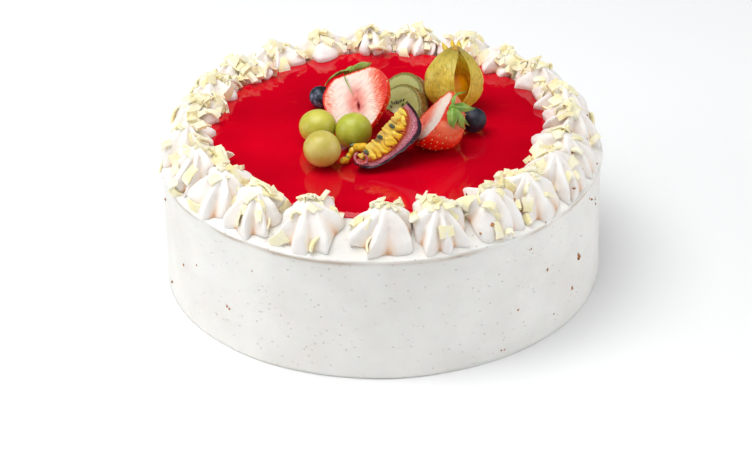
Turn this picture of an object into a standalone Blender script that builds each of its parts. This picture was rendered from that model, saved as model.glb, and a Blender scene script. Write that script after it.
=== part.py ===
"""Blood orange cake, whole and uncut.

A round cake coated in whipped cream, with a red jelly top set level in it. Piped cream stars with
white chocolate shavings stand round the edge, and a bunch of fruit lies in the middle: three grapes,
three blueberries, two halved strawberries, two kiwi slices, a wedge of passion fruit and a physalis.

The origin is on the table under the middle of the cake, +Z is up and the shown side faces -Y.
"""

import math
import random

import bmesh
import bpy
from mathutils import Matrix, Vector

MM = 0.001
GAP = 0.3 * MM

# Cake and jelly
CAKE_RADIUS = 120 * MM
CAKE_HEIGHT = 84 * MM
JELLY_RADIUS = 91 * MM
JELLY_EDGE = 95 * MM
JELLY_THICKNESS = 3 * MM
SHOULDER_TILT = math.radians(24)
SIDE_WAVE = 0.7 * MM
ROUND_STEPS = 60

# Piped stars: the ones at the front stand where the photo shows them, the rest share the way round
FRONT_STARS = (-54, -38.5, -21, 1, 16, 32.5, 48, 62, 75)
STAR_COUNT = 23
STAR_RING = 102.5 * MM
STAR_RADIUS = 19.5 * MM
STAR_HEIGHT = 14.2 * MM
STAR_PETALS = 7
GROOVE_DEPTH = 0.42
# Share of the radius and share of the height, from the foot to the peak
STAR_PROFILE = ((0.0, 0.0), (0.94, 0.0), (1.0, 0.22), (0.8, 0.62), (0.26, 0.92), (0.0, 1.0))
STAR_SEED = 46

# White chocolate shavings on the stars
SHAVINGS_PER_STAR = 4
SHAVING_LENGTH = (7 * MM, 12.5 * MM)
SHAVING_WIDTH = (3.8 * MM, 6.2 * MM)
SHAVING_THICKNESS = 1.1 * MM
SHAVING_BEND = (0.5, 2.4)
SHAVING_SEGMENTS = 2

# Fruit, each measured against the cake in the photo
GRAPES = (  # name, middle, radius and height as a share of the width
    ("grape_left", (-33.4, -15.2, 9.5), 10.3, 0.92),
    ("grape_front", (-31.1, -40.8, 9.9), 10.0, 0.98),
    ("grape_right", (-14.2, -21.6, 10.0), 10.0, 1.0),
)
BLUEBERRIES = (
    ("blueberry_left", (-32.4, 25.2, 6.3), 6.3, (0.45, -0.25, 0.85)),
    ("blueberry_back", (-17.6, 38.0, 6.2), 6.2, (0.1, -0.35, 0.9)),
    ("blueberry_right", (50.0, -7.4, 7.4), 7.4, (-0.35, 0.3, 0.9)),
)


def clear_scene():
    for obj in list(bpy.data.objects):
        bpy.data.objects.remove(obj, do_unlink=True)


def material(name, colour, roughness):
    """A Principled material from an sRGB colour of three numbers from 0 to 255."""
    made = bpy.data.materials.new(name)
    made.use_nodes = True
    shader = made.node_tree.nodes["Principled BSDF"]
    linear = [(c / 255 / 12.92) if c <= 10 else ((c / 255 + 0.055) / 1.055) ** 2.4 for c in colour]
    shader.inputs["Base Color"].default_value = (*linear, 1)
    shader.inputs["Roughness"].default_value = roughness
    made.diffuse_color = (*linear, 1)
    return made


def collection(name):
    made = bpy.data.collections.new(name)
    bpy.context.scene.collection.children.link(made)
    return made


def add_object(name, bm, where, finish, smooth_angle=None):
    """Turns a bmesh into an object, with its faces made to point outwards."""
    bmesh.ops.recalc_face_normals(bm, faces=bm.faces)
    if bm.calc_volume(signed=True) < 0:
        bmesh.ops.reverse_faces(bm, faces=bm.faces)
    mesh = bpy.data.meshes.new(name)
    bm.to_mesh(mesh)
    bm.free()
    obj = bpy.data.objects.new(name, mesh)
    where.objects.link(obj)
    mesh.materials.append(finish)
    if smooth_angle is not None:
        mesh.shade_smooth()
        mesh.set_sharp_from_angle(angle=smooth_angle)
    return obj


def turn_to(axis, facing):
    """The rotation that sends local +Z along axis and local +Y as near to facing as it can."""
    z = Vector(axis).normalized()
    y = Vector(facing)
    y = (y - y.project(z)).normalized()
    return Matrix((y.cross(z), y, z)).transposed().to_4x4()


def on_jelly(position):
    """A place given in millimetres from the middle of the jelly's surface."""
    return Vector(position) * MM + Vector((0, 0, CAKE_HEIGHT + GAP))


def sphere(segments, rings):
    bm = bmesh.new()
    bmesh.ops.create_uvsphere(bm, u_segments=segments, v_segments=rings, radius=1)
    return bm


def cut_flat(bm, point, normal):
    """Cuts away what lies on the side that normal points to, and closes the cut."""
    geometry = bm.verts[:] + bm.edges[:] + bm.faces[:]
    bmesh.ops.bisect_plane(bm, geom=geometry, plane_co=point, plane_no=normal, clear_outer=True)
    rim = [e for e in bm.edges if e.is_boundary]
    bmesh.ops.contextual_create(bm, geom=rim)


def turned(name, profile, where, finish):
    """A solid of revolution: the profile runs from the middle of the top down to the middle of the foot."""
    mesh = bpy.data.meshes.new(name)
    points = [(r, 0, z) for r, z in profile]
    mesh.from_pydata(points, [(i, i + 1) for i in range(len(points) - 1)], [])
    obj = bpy.data.objects.new(name, mesh)
    where.objects.link(obj)
    mesh.materials.append(finish)
    screw = obj.modifiers.new("turn", "SCREW")
    screw.steps = screw.render_steps = ROUND_STEPS
    screw.use_merge_vertices = True
    screw.merge_threshold = 0.00005
    screw.use_smooth_shade = False
    return obj


def applied(obj):
    """Replaces the object's mesh by its evaluated one and drops its modifiers."""
    graph = bpy.context.evaluated_depsgraph_get()
    mesh = bpy.data.meshes.new_from_object(obj.evaluated_get(graph))
    obj.modifiers.clear()
    obj.data = mesh
    return obj


def keep_largest_shell(mesh):
    """Deletes every shell but the one with the most faces: a union can leave slivers without volume."""
    bm = bmesh.new()
    bm.from_mesh(mesh)
    left = set(bm.faces)
    shells = []
    while left:
        start = left.pop()
        shell, edge_of = {start}, [start]
        while edge_of:
            for edge in edge_of.pop().edges:
                if len(edge.link_faces) != 2:
                    continue
                for face in edge.link_faces:
                    if face in left:
                        left.remove(face)
                        shell.add(face)
                        edge_of.append(face)
        shells.append(shell)
    shells.sort(key=len)
    for shell in shells[:-1]:
        bmesh.ops.delete(bm, geom=list(shell), context="FACES")
    bm.to_mesh(mesh)
    bm.free()


def join_solids(obj, scraps):
    """Fuses every object of the scraps collection to obj with one union, then removes them."""
    union = obj.modifiers.new("fuse", "BOOLEAN")
    union.operation = "UNION"
    union.operand_type = "COLLECTION"
    union.solver = "EXACT"
    union.collection = scraps
    applied(obj)
    keep_largest_shell(obj.data)
    for scrap in list(scraps.objects):
        bpy.data.objects.remove(scrap, do_unlink=True)
    bpy.data.collections.remove(scraps)


def side_wave(angle, height):
    """How far the palette knife left the cream in or out of round, from -1 to 1."""
    share = height / CAKE_HEIGHT
    return (
        0.5 * math.sin(3 * angle + 0.8)
        + 0.3 * math.sin(7 * angle + 2.5 * share)
        + 0.2 * math.sin(11 * angle - 3 * share)
    )


def build_cake(where, cream):
    """The coated cake: flat under the jelly, a sloping shoulder under the stars, a nearly upright side."""
    recess = JELLY_THICKNESS + GAP
    pocket = JELLY_EDGE + GAP
    shoulder_end = CAKE_RADIUS - 1.5 * MM
    shoulder_low = CAKE_HEIGHT - (shoulder_end - JELLY_RADIUS) * math.tan(SHOULDER_TILT)
    profile = [
        (0, CAKE_HEIGHT - recess),
        (pocket, CAKE_HEIGHT - recess),
        (pocket, CAKE_HEIGHT - (pocket - JELLY_RADIUS) * math.tan(SHOULDER_TILT)),
        (shoulder_end, shoulder_low),
        (CAKE_RADIUS, shoulder_low - 2 * MM),
        (CAKE_RADIUS, CAKE_HEIGHT * 0.6),
        (CAKE_RADIUS, CAKE_HEIGHT * 0.3),
        (CAKE_RADIUS + 0.4 * MM, 2 * MM),
        (CAKE_RADIUS - 1 * MM, 0),
        (0, 0),
    ]
    cake = applied(turned("cake_body", profile, where, cream))
    for vertex in cake.data.vertices:
        x, y, z = vertex.co
        radius = math.hypot(x, y)
        if radius > CAKE_RADIUS - 1.2 * MM:
            grown = 1 + SIDE_WAVE * side_wave(math.atan2(y, x), z) / radius
            vertex.co = (x * grown, y * grown, z)


def build_jelly(where, jelly):
    """The jelly: level in the middle, its edge run down a little way on to the shoulder."""
    profile = [
        (0, CAKE_HEIGHT),
        (JELLY_RADIUS, CAKE_HEIGHT),
        (JELLY_EDGE, CAKE_HEIGHT - (JELLY_EDGE - JELLY_RADIUS) * math.tan(SHOULDER_TILT)),
        (JELLY_EDGE, CAKE_HEIGHT - JELLY_THICKNESS),
        (0, CAKE_HEIGHT - JELLY_THICKNESS),
    ]
    turned("jelly_top", profile, where, jelly)


def star_angles():
    """The angle of each star from the front, in degrees, going round to the right."""
    rest = STAR_COUNT - len(FRONT_STARS)
    way = 360 - FRONT_STARS[-1] + FRONT_STARS[0]
    return list(FRONT_STARS) + [FRONT_STARS[-1] + way * (i + 1) / (rest + 1) for i in range(rest)]


class Star:
    """One piped star. Local X runs towards the star before it, Y outwards and Z up its leaning axis."""

    def __init__(self, index, angles):
        draw = random.Random(STAR_SEED + index)
        here = angles[index]
        before = angles[index - 1] - (360 if index == 0 else 0)
        after = angles[(index + 1) % len(angles)] + (360 if index == len(angles) - 1 else 0)
        self.before = math.tan(math.radians((here - before) / 2))
        self.after = math.tan(math.radians((after - here) / 2))
        self.angle = math.radians(here)
        self.radius = STAR_RADIUS * draw.uniform(0.95, 1.04)
        self.height = STAR_HEIGHT * draw.uniform(0.92, 1.1)
        self.phase = math.pi / 2 + draw.uniform(-0.3, 0.3)
        self.twist = draw.uniform(-0.15, 0.4)
        self.lean = (draw.uniform(-1.5, 1.5) * MM, draw.uniform(-6, -4) * MM)
        self.petal_sizes = [draw.uniform(0.9, 1.06) for _ in range(STAR_PETALS)]
        self.draw = draw

    def side_limit(self, y, z, side):
        """How far from the star's middle plane the neighbour begins, at that height and distance."""
        out = STAR_RING + y * math.cos(SHOULDER_TILT) + z * math.sin(SHOULDER_TILT)
        return out * (self.before if side > 0 else self.after) - GAP

    def squeeze(self, x, y, z):
        """A star spreads into a wide space and is flattened in a narrow one, so x never passes the limit."""
        limit = self.side_limit(y, z, x)
        spread = x * max(1.0, 1.06 * self.side_limit(0, 0, x) / self.radius)
        return spread / (1 + (abs(spread) / limit) ** 8) ** 0.125

    def petal_size(self, angle):
        """The size of the petals on both sides of that angle, by how near each one is."""
        place = angle / (2 * math.pi) * STAR_PETALS
        before = math.floor(place)
        share = place - before
        sizes = self.petal_sizes
        return sizes[before % STAR_PETALS] * (1 - share) + sizes[(before + 1) % STAR_PETALS] * share

    def point(self, angle, radius_share, height_share):
        """A point of the star: petals stand out of the profile, and the whole twists and leans as it rises."""
        groove = 1 - abs(math.cos(STAR_PETALS * angle / 2))
        radius = self.radius * self.petal_size(angle) * radius_share * (1 - GROOVE_DEPTH * groove)
        turned_by = angle + self.phase + self.twist * height_share
        x = radius * math.cos(turned_by) + self.lean[0] * height_share**2
        y = radius * math.sin(turned_by) + self.lean[1] * height_share**2
        z = self.height * height_share
        return Vector((self.squeeze(x, y, z), y, z))

    def matrix(self):
        """Stands the star on the sloping shoulder."""
        seat_z = CAKE_HEIGHT - (STAR_RING - JELLY_RADIUS) * math.tan(SHOULDER_TILT)
        round_cake = Matrix.Rotation(self.angle, 4, "Z")
        seat = Matrix.Translation((0, -STAR_RING, seat_z))
        outwards = Matrix.Rotation(math.pi, 4, "Z")
        tilt = Matrix.Rotation(-SHOULDER_TILT, 4, "X")
        return round_cake @ seat @ outwards @ tilt @ Matrix.Translation((0, 0, GAP))


def shaving_places(star):
    """Seeded places for a star's shavings: (matrix, length, width, bend) of each."""
    places = []
    draw = star.draw
    while len(places) < SHAVINGS_PER_STAR:
        step = draw.randrange(1, 4)
        share, height_share = STAR_PROFILE[step + 1]
        angle = draw.uniform(0, 2 * math.pi)
        length = draw.uniform(*SHAVING_LENGTH)
        width = draw.uniform(*SHAVING_WIDTH)
        bend = draw.uniform(*SHAVING_BEND)
        spin = draw.uniform(0, 2 * math.pi)
        tip = draw.uniform(-0.6, 0.6)
        base = star.point(angle, share * 0.8, height_share)
        # Shavings fell on the tops and on the side towards the jelly; the outer faces stayed clean
        if base.y > 3 * MM and height_share < 0.6:
            continue
        outward = Vector((base.x, base.y, star.height * 0.45)).normalized()
        turn = outward.to_track_quat("Z", "Y").to_matrix().to_4x4()
        turn = turn @ Matrix.Rotation(spin, 4, "Z") @ Matrix.Rotation(tip, 4, "X")
        matrix = Matrix.Translation(base + outward * 0.6 * MM) @ turn
        corners = [
            matrix @ Vector((sx * length / 2, sy * width / 2, sz * 2 * MM))
            for sx in (-1, 1)
            for sy in (-1, 1)
            for sz in (-1, 1)
        ]
        inside = all(abs(c.x) < star.side_limit(c.y, c.z, c.x) - GAP for c in corners)
        if inside and all(c.z > 2.5 * MM for c in corners):
            places.append((matrix, length, width, bend))
    return places


def shaving(matrix, length, width, bend):
    """A bar of chocolate bent along an arc of bend radians."""
    bm = bmesh.new()
    bmesh.ops.create_cube(bm, size=1)
    across = [e for e in bm.edges if abs(e.verts[0].co.x - e.verts[1].co.x) > 0.5]
    bmesh.ops.subdivide_edges(bm, edges=across, cuts=SHAVING_SEGMENTS - 1, use_grid_fill=True)
    arc_radius = length / bend
    for vertex in bm.verts:
        along, side, up = vertex.co
        radius = arc_radius + up * SHAVING_THICKNESS
        x = radius * math.sin(along * bend)
        z = radius * math.cos(along * bend) - arc_radius
        vertex.co = matrix @ Vector((x, side * width * (1 - 0.3 * along), z))
    return bm


def build_stars(where, cream, chocolate):
    """The border: each star is a sphere's net drawn up into petals, with its shavings fused on."""
    angles = star_angles()
    net_rings = len(STAR_PROFILE) - 1
    for index in range(STAR_COUNT):
        star = Star(index, angles)
        bm = bmesh.new()
        bmesh.ops.create_uvsphere(
            bm, u_segments=2 * STAR_PETALS, v_segments=net_rings, radius=1
        )
        for vertex in bm.verts:
            ring = round((math.pi / 2 + math.asin(max(-1, min(1, vertex.co.z)))) / math.pi * net_rings)
            column = math.floor(math.atan2(vertex.co.y, vertex.co.x) / math.pi * STAR_PETALS)
            share, height_share = STAR_PROFILE[ring]
            vertex.co = star.point(column * math.pi / STAR_PETALS, share, height_share)
        obj = add_object(f"cream_star_{index + 1:02d}", bm, where, cream)
        obj.data.materials.append(chocolate)
        scraps = collection(f"shavings_{index + 1:02d}")
        for number, place in enumerate(shaving_places(star)):
            add_object(f"shaving_{index + 1:02d}_{number}", shaving(*place), scraps, chocolate)
        join_solids(obj, scraps)
        obj.matrix_world = star.matrix()


def build_grapes(where, skin):
    for name, place, radius, height_share in GRAPES:
        bm = sphere(14, 9)
        for vertex in bm.verts:
            x, y, z = vertex.co * radius * MM
            vertex.co = (x, y, z * height_share)
        grape = add_object(name, bm, where, skin, smooth_angle=math.radians(60))
        grape.location = on_jelly(place)


def build_blueberries(where, skin):
    """A round berry whose blossom end is a shallow cup with a raised rim."""
    cup_angle = math.radians(32)
    for name, place, radius, crown in BLUEBERRIES:
        bm = sphere(12, 10)
        for vertex in bm.verts:
            from_crown = math.acos(max(-1, min(1, vertex.co.z)))
            size = 1.0
            if from_crown < cup_angle * 0.3:
                size = 0.78
            elif from_crown < cup_angle:
                size = 1.0
            vertex.co = Vector((vertex.co.x, vertex.co.y, vertex.co.z * 0.94)) * radius * MM * size
        berry = add_object(name, bm, where, skin, smooth_angle=math.radians(60))
        berry.matrix_world = Matrix.Translation(on_jelly(place)) @ turn_to(crown, (0, 1, 0))


# Halved strawberries: the place is the middle of the calyx end, in mm from the jelly's middle.
# A leaf is a row of points, then its largest half width.
STRAWBERRIES = (
    {
        "name": "left",
        "calyx": (-14.8, 14.0, 25.5),
        "tip_way": (0.13, -0.77, -0.63),
        "face": (-0.45, -0.54, 0.71),
        "length": 37,
        "width": 39.5,
        "depth": 17,
        "hub": (-15.1, 16.6, 27.0),
        "leaves": (
            (((-15.1, 16.6, 27.0), (-10.4, 18.6, 27.2), (-6.5, 20.5, 27.2), (-3.9, 23.5, 27.2)), 2.2),
            (((-15.1, 16.6, 27.0), (-21.3, 18.0, 24.6), (-26.3, 18.5, 21.0), (-29.9, 17.4, 16.6)), 2.0),
            (((-15.1, 16.8, 27.0), (-16.5, 22.0, 25.0), (-17.5, 25.5, 20.5), (-17.8, 28.0, 16.5)), 2.6),
            (((-15.1, 16.8, 27.0), (-10.5, 22.4, 24.6), (-7.0, 25.0, 20.0), (-5.5, 27.5, 16.0)), 2.4),
        ),
    },
    {
        "name": "right",
        "calyx": (35.2, -26.8, 23.4),
        "tip_way": (-0.60, 0.45, -0.66),
        "face": (-0.69, 0.06, 0.72),
        "length": 33,
        "width": 37,
        "depth": 19,
        "hub": (38.2, -28.0, 24.6),
        "leaves": (
            (((38.2, -28.0, 24.6), (38.0, -33.2, 24.0), (37.8, -35.5, 19.6), (38.6, -35.5, 15.0)), 2.8),
            (((38.2, -28.0, 24.6), (38.9, -24.6, 28.4), (41.6, -21.6, 29.4), (46.3, -18.0, 28.2)), 1.7),
            (((38.2, -28.0, 24.6), (43.2, -26.2, 23.6), (47.0, -23.0, 21.4), (51.0, -18.8, 18.4)), 2.4),
            (((38.2, -28.0, 24.6), (42.0, -31.6, 21.2), (44.6, -29.4, 16.2), (47.4, -25.9, 12.0)), 1.5),
            (((38.2, -28.0, 24.6), (40.9, -32.9, 20.8), (43.0, -33.2, 16.5), (44.6, -30.8, 12.2)), 2.2),
        ),
    },
)
LEAF_THICKNESS = 0.9 * MM

# Kiwi slices: a disc standing on the jelly, cut off level with it
KIWIS = (
    ("front", (8.7, 14.6, 0)),
    ("back", (10.0, 28.4, 0)),
)
KIWI_RADIUS = 18 * MM
KIWI_THICKNESS = 6.3 * MM
KIWI_FACING = (-0.65, -0.45, 0.61)

# Passion fruit wedge: its long axis, the way from the axis to the cut rim, and the angle of the wedge
PASSION_MIDDLE = (0.1, -40.8, 19.0)
PASSION_AXIS = (0.678, 0.419, 0.605)
PASSION_RIM_WAY = (0.737, -0.345, -0.59)
PASSION_HALF_LENGTH = 21.8 * MM
PASSION_RADIUS = 15.5 * MM
PASSION_DEPTH = 1.3
# How much fuller the fruit is at its upper end, and at both ends, than a spheroid
PASSION_SKEW = 0.31
PASSION_FILL = 0.35
PULP_HALF_LENGTH = 17.6 * MM
PULP_RADIUS = 10.6 * MM
PASSION_ANGLE = math.radians(75)

# Physalis: a berry in a papery husk that is open towards the front
PHYSALIS_MIDDLE = (40.2, 20.4, 14.0)
PHYSALIS_AXIS = (0.08, 0.44, 0.89)
PHYSALIS_BERRY_RADIUS = 9.4 * MM
HUSK_WIDTH = 15.7 * MM
HUSK_BELOW = 13.5 * MM
HUSK_ABOVE = 22 * MM
HUSK_WALL = 0.9 * MM
HUSK_RIBS = 5
HUSK_COLUMNS = 20
HUSK_RINGS = 10
HUSK_GAP = math.radians(38)
HUSK_TURN = math.radians(16)


def berry_radius(share):
    """Half the width of a strawberry, as a share of the largest, from the calyx end (0) to the tip (1)."""
    if share < 0.3:
        return math.sqrt(max(0.0, 1 - ((0.3 - share) / 0.36) ** 2))
    return math.cos((share - 0.3) / 0.7 * math.pi / 2) ** 0.72


def settle(*objects):
    """Moves the objects up or down together until the lowest point is a gap above the jelly."""
    bpy.context.view_layer.update()
    lowest = min((obj.matrix_world @ v.co).z for obj in objects for v in obj.data.vertices)
    for obj in objects:
        obj.matrix_world = Matrix.Translation((0, 0, CAKE_HEIGHT + GAP - lowest)) @ obj.matrix_world


def leaf(points, half_width):
    """A thin pointed blade along the points, with a raised midrib and both faces divided alike."""
    bm = bmesh.new()
    path = [on_jelly(p) for p in points]
    middle = sum(path, Vector()) / len(path)
    bend = (path[0] + path[-1]) / 2 - middle
    along = (path[-1] - path[0]).normalized()
    face = (bend - bend.project(along)) if bend.length > 1e-5 else Vector((0, 0, 1))
    face.normalize()
    side = along.cross(face).normalized()
    shares = (0.55, 1.0, 0.7, 0.12)
    rows = []
    for point, share in zip(path, shares):
        half = half_width * MM * share
        rim = face * half * 0.25
        rows.append(
            [
                bm.verts.new(point + side * half + rim),
                bm.verts.new(point + face * LEAF_THICKNESS / 2),
                bm.verts.new(point - side * half + rim),
                bm.verts.new(point - face * LEAF_THICKNESS / 2),
            ]
        )
    for row, after in zip(rows, rows[1:]):
        for i in range(4):
            j = (i + 1) % 4
            bm.faces.new((row[i], row[j], after[j]))
            bm.faces.new((row[i], after[j], after[i]))
    for row in (rows[0], rows[-1]):
        bm.faces.new((row[0], row[1], row[3]))
        bm.faces.new((row[1], row[2], row[3]))
    return bm


def build_strawberries(where, flesh, green):
    for berry in STRAWBERRIES:
        rings = 12
        bm = sphere(20, rings)
        for vertex in bm.verts:
            ring = round(math.acos(max(-1, min(1, vertex.co.z))) / math.pi * rings)
            share = 0.5 - 0.5 * math.cos(math.pi * ring / rings)
            flat = math.hypot(vertex.co.x, vertex.co.y)
            across = berry_radius(share) / flat if flat > 1e-4 else 0
            vertex.co = (
                vertex.co.x * across * berry["width"] / 2 * MM,
                vertex.co.y * across * berry["depth"] * MM,
                share * berry["length"] * MM,
            )
        cut_flat(bm, (0, 0, 0), (0, 1, 0))
        half = add_object("strawberry_" + berry["name"], bm, where, flesh, math.radians(50))
        pose = Matrix.Translation(on_jelly(berry["calyx"])) @ turn_to(berry["tip_way"], berry["face"])
        half.matrix_world = pose
        hub = bmesh.new()
        bmesh.ops.create_icosphere(hub, subdivisions=1, radius=1.9 * MM)
        bmesh.ops.translate(hub, verts=hub.verts, vec=on_jelly(berry["hub"]))
        calyx = add_object("calyx_" + berry["name"], hub, where, green)
        scraps = collection("leaves_" + berry["name"])
        for number, (points, half_width) in enumerate(berry["leaves"]):
            add_object(f"leaf_{berry['name']}_{number}", leaf(points, half_width), scraps, green)
        join_solids(calyx, scraps)
        settle(half, calyx)


def build_kiwis(where, flesh):
    facing = Vector(KIWI_FACING).normalized()
    for name, middle in KIWIS:
        bm = bmesh.new()
        bmesh.ops.create_cone(
            bm, cap_ends=True, segments=36, radius1=KIWI_RADIUS, radius2=KIWI_RADIUS, depth=KIWI_THICKNESS
        )
        skin = [e for e in bm.edges if abs(e.verts[0].co.z - e.verts[1].co.z) < 1e-6]
        bmesh.ops.bevel(bm, geom=skin, offset=0.8 * MM, segments=1, affect="EDGES")
        pose = turn_to(facing, (0, 0, 1))
        front = Vector((0, 0, -KIWI_THICKNESS / 2))
        bm.transform(Matrix.Translation(on_jelly(middle)) @ pose @ Matrix.Translation(front))
        cut_flat(bm, (0, 0, CAKE_HEIGHT + GAP), (0, 0, -1))
        add_object("kiwi_slice_" + name, bm, where, flesh)


def fruit_body(radius, half_length, skew, fill):
    """A spheroid that is deeper than it is wide, fuller at its lower Z end and blunter at both ends."""
    bm = sphere(24, 10)
    for vertex in bm.verts:
        x, y, z = vertex.co
        size = radius * (1 - skew * z + fill * z**2)
        vertex.co = (x * size, y * size * PASSION_DEPTH, z * half_length)
    return bm


def wedge(bm, angle):
    """Keeps the part of a body between two planes that meet along its Z axis."""
    cut_flat(bm, (0, 0, 0), (0, 1, 0))
    cut_flat(bm, (0, 0, 0), (-math.sin(angle), -math.cos(angle), 0))
    return bm


def build_passion_fruit(where, rind, pulp):
    """A wedge lying on its rind, cut face up: local +X is the way to the cut rim and +Y faces out of it."""
    whole = fruit_body(PASSION_RADIUS, PASSION_HALF_LENGTH, PASSION_SKEW, PASSION_FILL)
    shell = add_object("passion_fruit_rind", wedge(whole, PASSION_ANGLE), where, rind)
    core = fruit_body(PULP_RADIUS, PULP_HALF_LENGTH, 0, 0)
    scraps = collection("cutters")
    cutter = add_object("passion_fruit_hollow", core, scraps, rind)
    cutter.hide_render = True
    cutter.display_type = "WIRE"
    cut = shell.modifiers.new("hollow", "BOOLEAN")
    cut.operation = "DIFFERENCE"
    cut.solver = "EXACT"
    cut.object = cutter
    applied(shell)
    bpy.data.objects.remove(cutter, do_unlink=True)
    bpy.data.collections.remove(scraps)
    inside = fruit_body(PULP_RADIUS - GAP, PULP_HALF_LENGTH - GAP, 0, 0)
    filling = add_object("passion_fruit_pulp", wedge(inside, PASSION_ANGLE), where, pulp)
    along = -Vector(PASSION_AXIS).normalized()
    out = Vector(PASSION_RIM_WAY)
    out = (out - out.project(along)).normalized()
    pose = Matrix((out, along.cross(out), along)).transposed().to_4x4()
    for obj in (shell, filling):
        obj.matrix_world = Matrix.Translation(on_jelly(PASSION_MIDDLE)) @ pose
    settle(shell, filling)


def husk_width(height_share):
    """The husk's half width as a share of the largest: round below, full above, drawn to a point."""
    if height_share < 0.42:
        return math.sqrt(1 - ((0.42 - height_share) / 0.42) ** 2.4)
    return max(0.0, 1 - ((height_share - 0.42) / 0.58) ** 2.2) ** 0.8


def build_physalis(where, paper, orange):
    """A ribbed husk with a gap in its wall that is widest half way up, and the berry inside."""
    bm = sphere(HUSK_COLUMNS, HUSK_RINGS)
    step = 2 * math.pi / HUSK_COLUMNS
    gap_columns = HUSK_COLUMNS // 5
    for vertex in bm.verts:
        x, y, z = vertex.co
        ring = round((math.pi / 2 + math.asin(max(-1, min(1, z)))) / math.pi * HUSK_RINGS)
        height_share = 0.5 - 0.5 * math.cos(math.pi * ring / HUSK_RINGS)
        column = math.floor((math.atan2(x, -y) % (2 * math.pi)) / step + 1e-4)
        gap = HUSK_GAP * math.sin(math.pi * min(1, max(0, (ring - 1) / (HUSK_RINGS - 2)))) ** 0.6
        rest = 2 * math.pi - gap
        if column <= gap_columns:
            angle = gap * (column / gap_columns - 0.5)
        else:
            angle = gap / 2 + rest * (column - gap_columns) / (HUSK_COLUMNS - gap_columns)
        angle += HUSK_TURN
        width = HUSK_WIDTH * husk_width(height_share)
        width *= 1 + 0.07 * math.cos(HUSK_RIBS * angle) * math.sin(math.pi * height_share)
        z = -HUSK_BELOW + (HUSK_BELOW + HUSK_ABOVE) * height_share
        vertex.co = (width * math.sin(angle), -width * math.cos(angle), z)
    opened = []
    for face in bm.faces:
        centre = face.calc_center_median()
        angle = (math.atan2(centre.x, -centre.y) - HUSK_TURN + math.pi) % (2 * math.pi) - math.pi
        low = -HUSK_BELOW * 0.8
        if abs(angle) < HUSK_GAP * 0.45 and low < centre.z < HUSK_ABOVE * 0.9 and len(face.verts) == 4:
            opened.append(face)
    bmesh.ops.delete(bm, geom=opened, context="FACES")
    husk = add_object("physalis_husk", bm, where, paper)
    wall = husk.modifiers.new("wall", "SOLIDIFY")
    wall.thickness = HUSK_WALL
    wall.offset = -1
    applied(husk)
    berry = add_object("physalis_berry", sphere(14, 9), where, orange, math.radians(60))
    for vertex in berry.data.vertices:
        vertex.co = vertex.co * PHYSALIS_BERRY_RADIUS
    pose = Matrix.Translation(on_jelly(PHYSALIS_MIDDLE)) @ turn_to(PHYSALIS_AXIS, (0, 1, 0))
    husk.matrix_world = pose
    rise = -HUSK_BELOW + HUSK_WALL + 1.0 * MM + PHYSALIS_BERRY_RADIUS
    berry.matrix_world = pose @ Matrix.Translation((0, 0, rise))
    settle(husk, berry)


def main():
    clear_scene()
    parts = collection("blood_orange_cake")
    cream = material("whipped_cream", (240, 234, 226), 0.55)
    chocolate = material("white_chocolate", (244, 236, 186), 0.45)
    jelly = material("red_jelly", (205, 6, 30), 0.08)
    grape = material("grape_skin", (196, 190, 70), 0.25)
    blueberry = material("blueberry_skin", (44, 50, 74), 0.5)
    strawberry = material("strawberry_flesh", (214, 40, 36), 0.3)
    green = material("strawberry_leaf", (110, 150, 50), 0.5)
    kiwi = material("kiwi_flesh", (168, 168, 94), 0.35)
    rind = material("passion_fruit_rind", (90, 30, 50), 0.4)
    pulp = material("passion_fruit_pulp", (230, 175, 30), 0.25)
    husk = material("physalis_husk", (205, 170, 80), 0.6)
    physalis = material("physalis_berry", (226, 128, 10), 0.3)
    build_cake(parts, cream)
    build_jelly(parts, jelly)
    build_stars(parts, cream, chocolate)
    build_grapes(parts, grape)
    build_blueberries(parts, blueberry)
    build_strawberries(parts, strawberry, green)
    build_kiwis(parts, kiwi)
    build_passion_fruit(parts, rind, pulp)
    build_physalis(parts, husk, physalis)


main()
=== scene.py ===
"""Blood orange cake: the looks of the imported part.

The file follows the cake as it is put together: the cream coat, the jelly, the piped border with its
shavings, then each fruit of the bunch in the middle, and last the floor and the lights. Lengths are in
metres, the base lies on z = 0 and the shown side faces -Y.
"""

import math
import random

import bpy
import numpy as np
from mathutils import Matrix, Vector


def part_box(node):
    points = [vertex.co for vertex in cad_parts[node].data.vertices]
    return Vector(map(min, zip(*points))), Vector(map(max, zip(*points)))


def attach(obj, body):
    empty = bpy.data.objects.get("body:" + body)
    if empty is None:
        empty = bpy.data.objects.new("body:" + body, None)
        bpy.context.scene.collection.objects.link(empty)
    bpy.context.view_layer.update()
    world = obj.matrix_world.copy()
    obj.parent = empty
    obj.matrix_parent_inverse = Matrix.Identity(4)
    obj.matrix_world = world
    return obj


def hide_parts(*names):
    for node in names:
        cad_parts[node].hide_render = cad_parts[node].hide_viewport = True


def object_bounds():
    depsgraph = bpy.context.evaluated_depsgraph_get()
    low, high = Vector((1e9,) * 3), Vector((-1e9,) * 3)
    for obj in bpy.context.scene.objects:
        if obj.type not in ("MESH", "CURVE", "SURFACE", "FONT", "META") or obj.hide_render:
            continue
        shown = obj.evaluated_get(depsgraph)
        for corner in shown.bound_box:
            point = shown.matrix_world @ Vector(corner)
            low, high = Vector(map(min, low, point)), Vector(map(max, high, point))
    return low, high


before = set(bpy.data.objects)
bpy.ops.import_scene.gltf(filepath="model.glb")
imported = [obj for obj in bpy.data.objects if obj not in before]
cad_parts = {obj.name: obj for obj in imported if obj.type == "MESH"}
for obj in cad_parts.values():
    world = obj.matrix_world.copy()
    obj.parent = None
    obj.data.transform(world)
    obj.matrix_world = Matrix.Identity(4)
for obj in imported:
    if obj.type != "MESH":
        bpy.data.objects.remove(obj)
cad_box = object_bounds()

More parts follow.
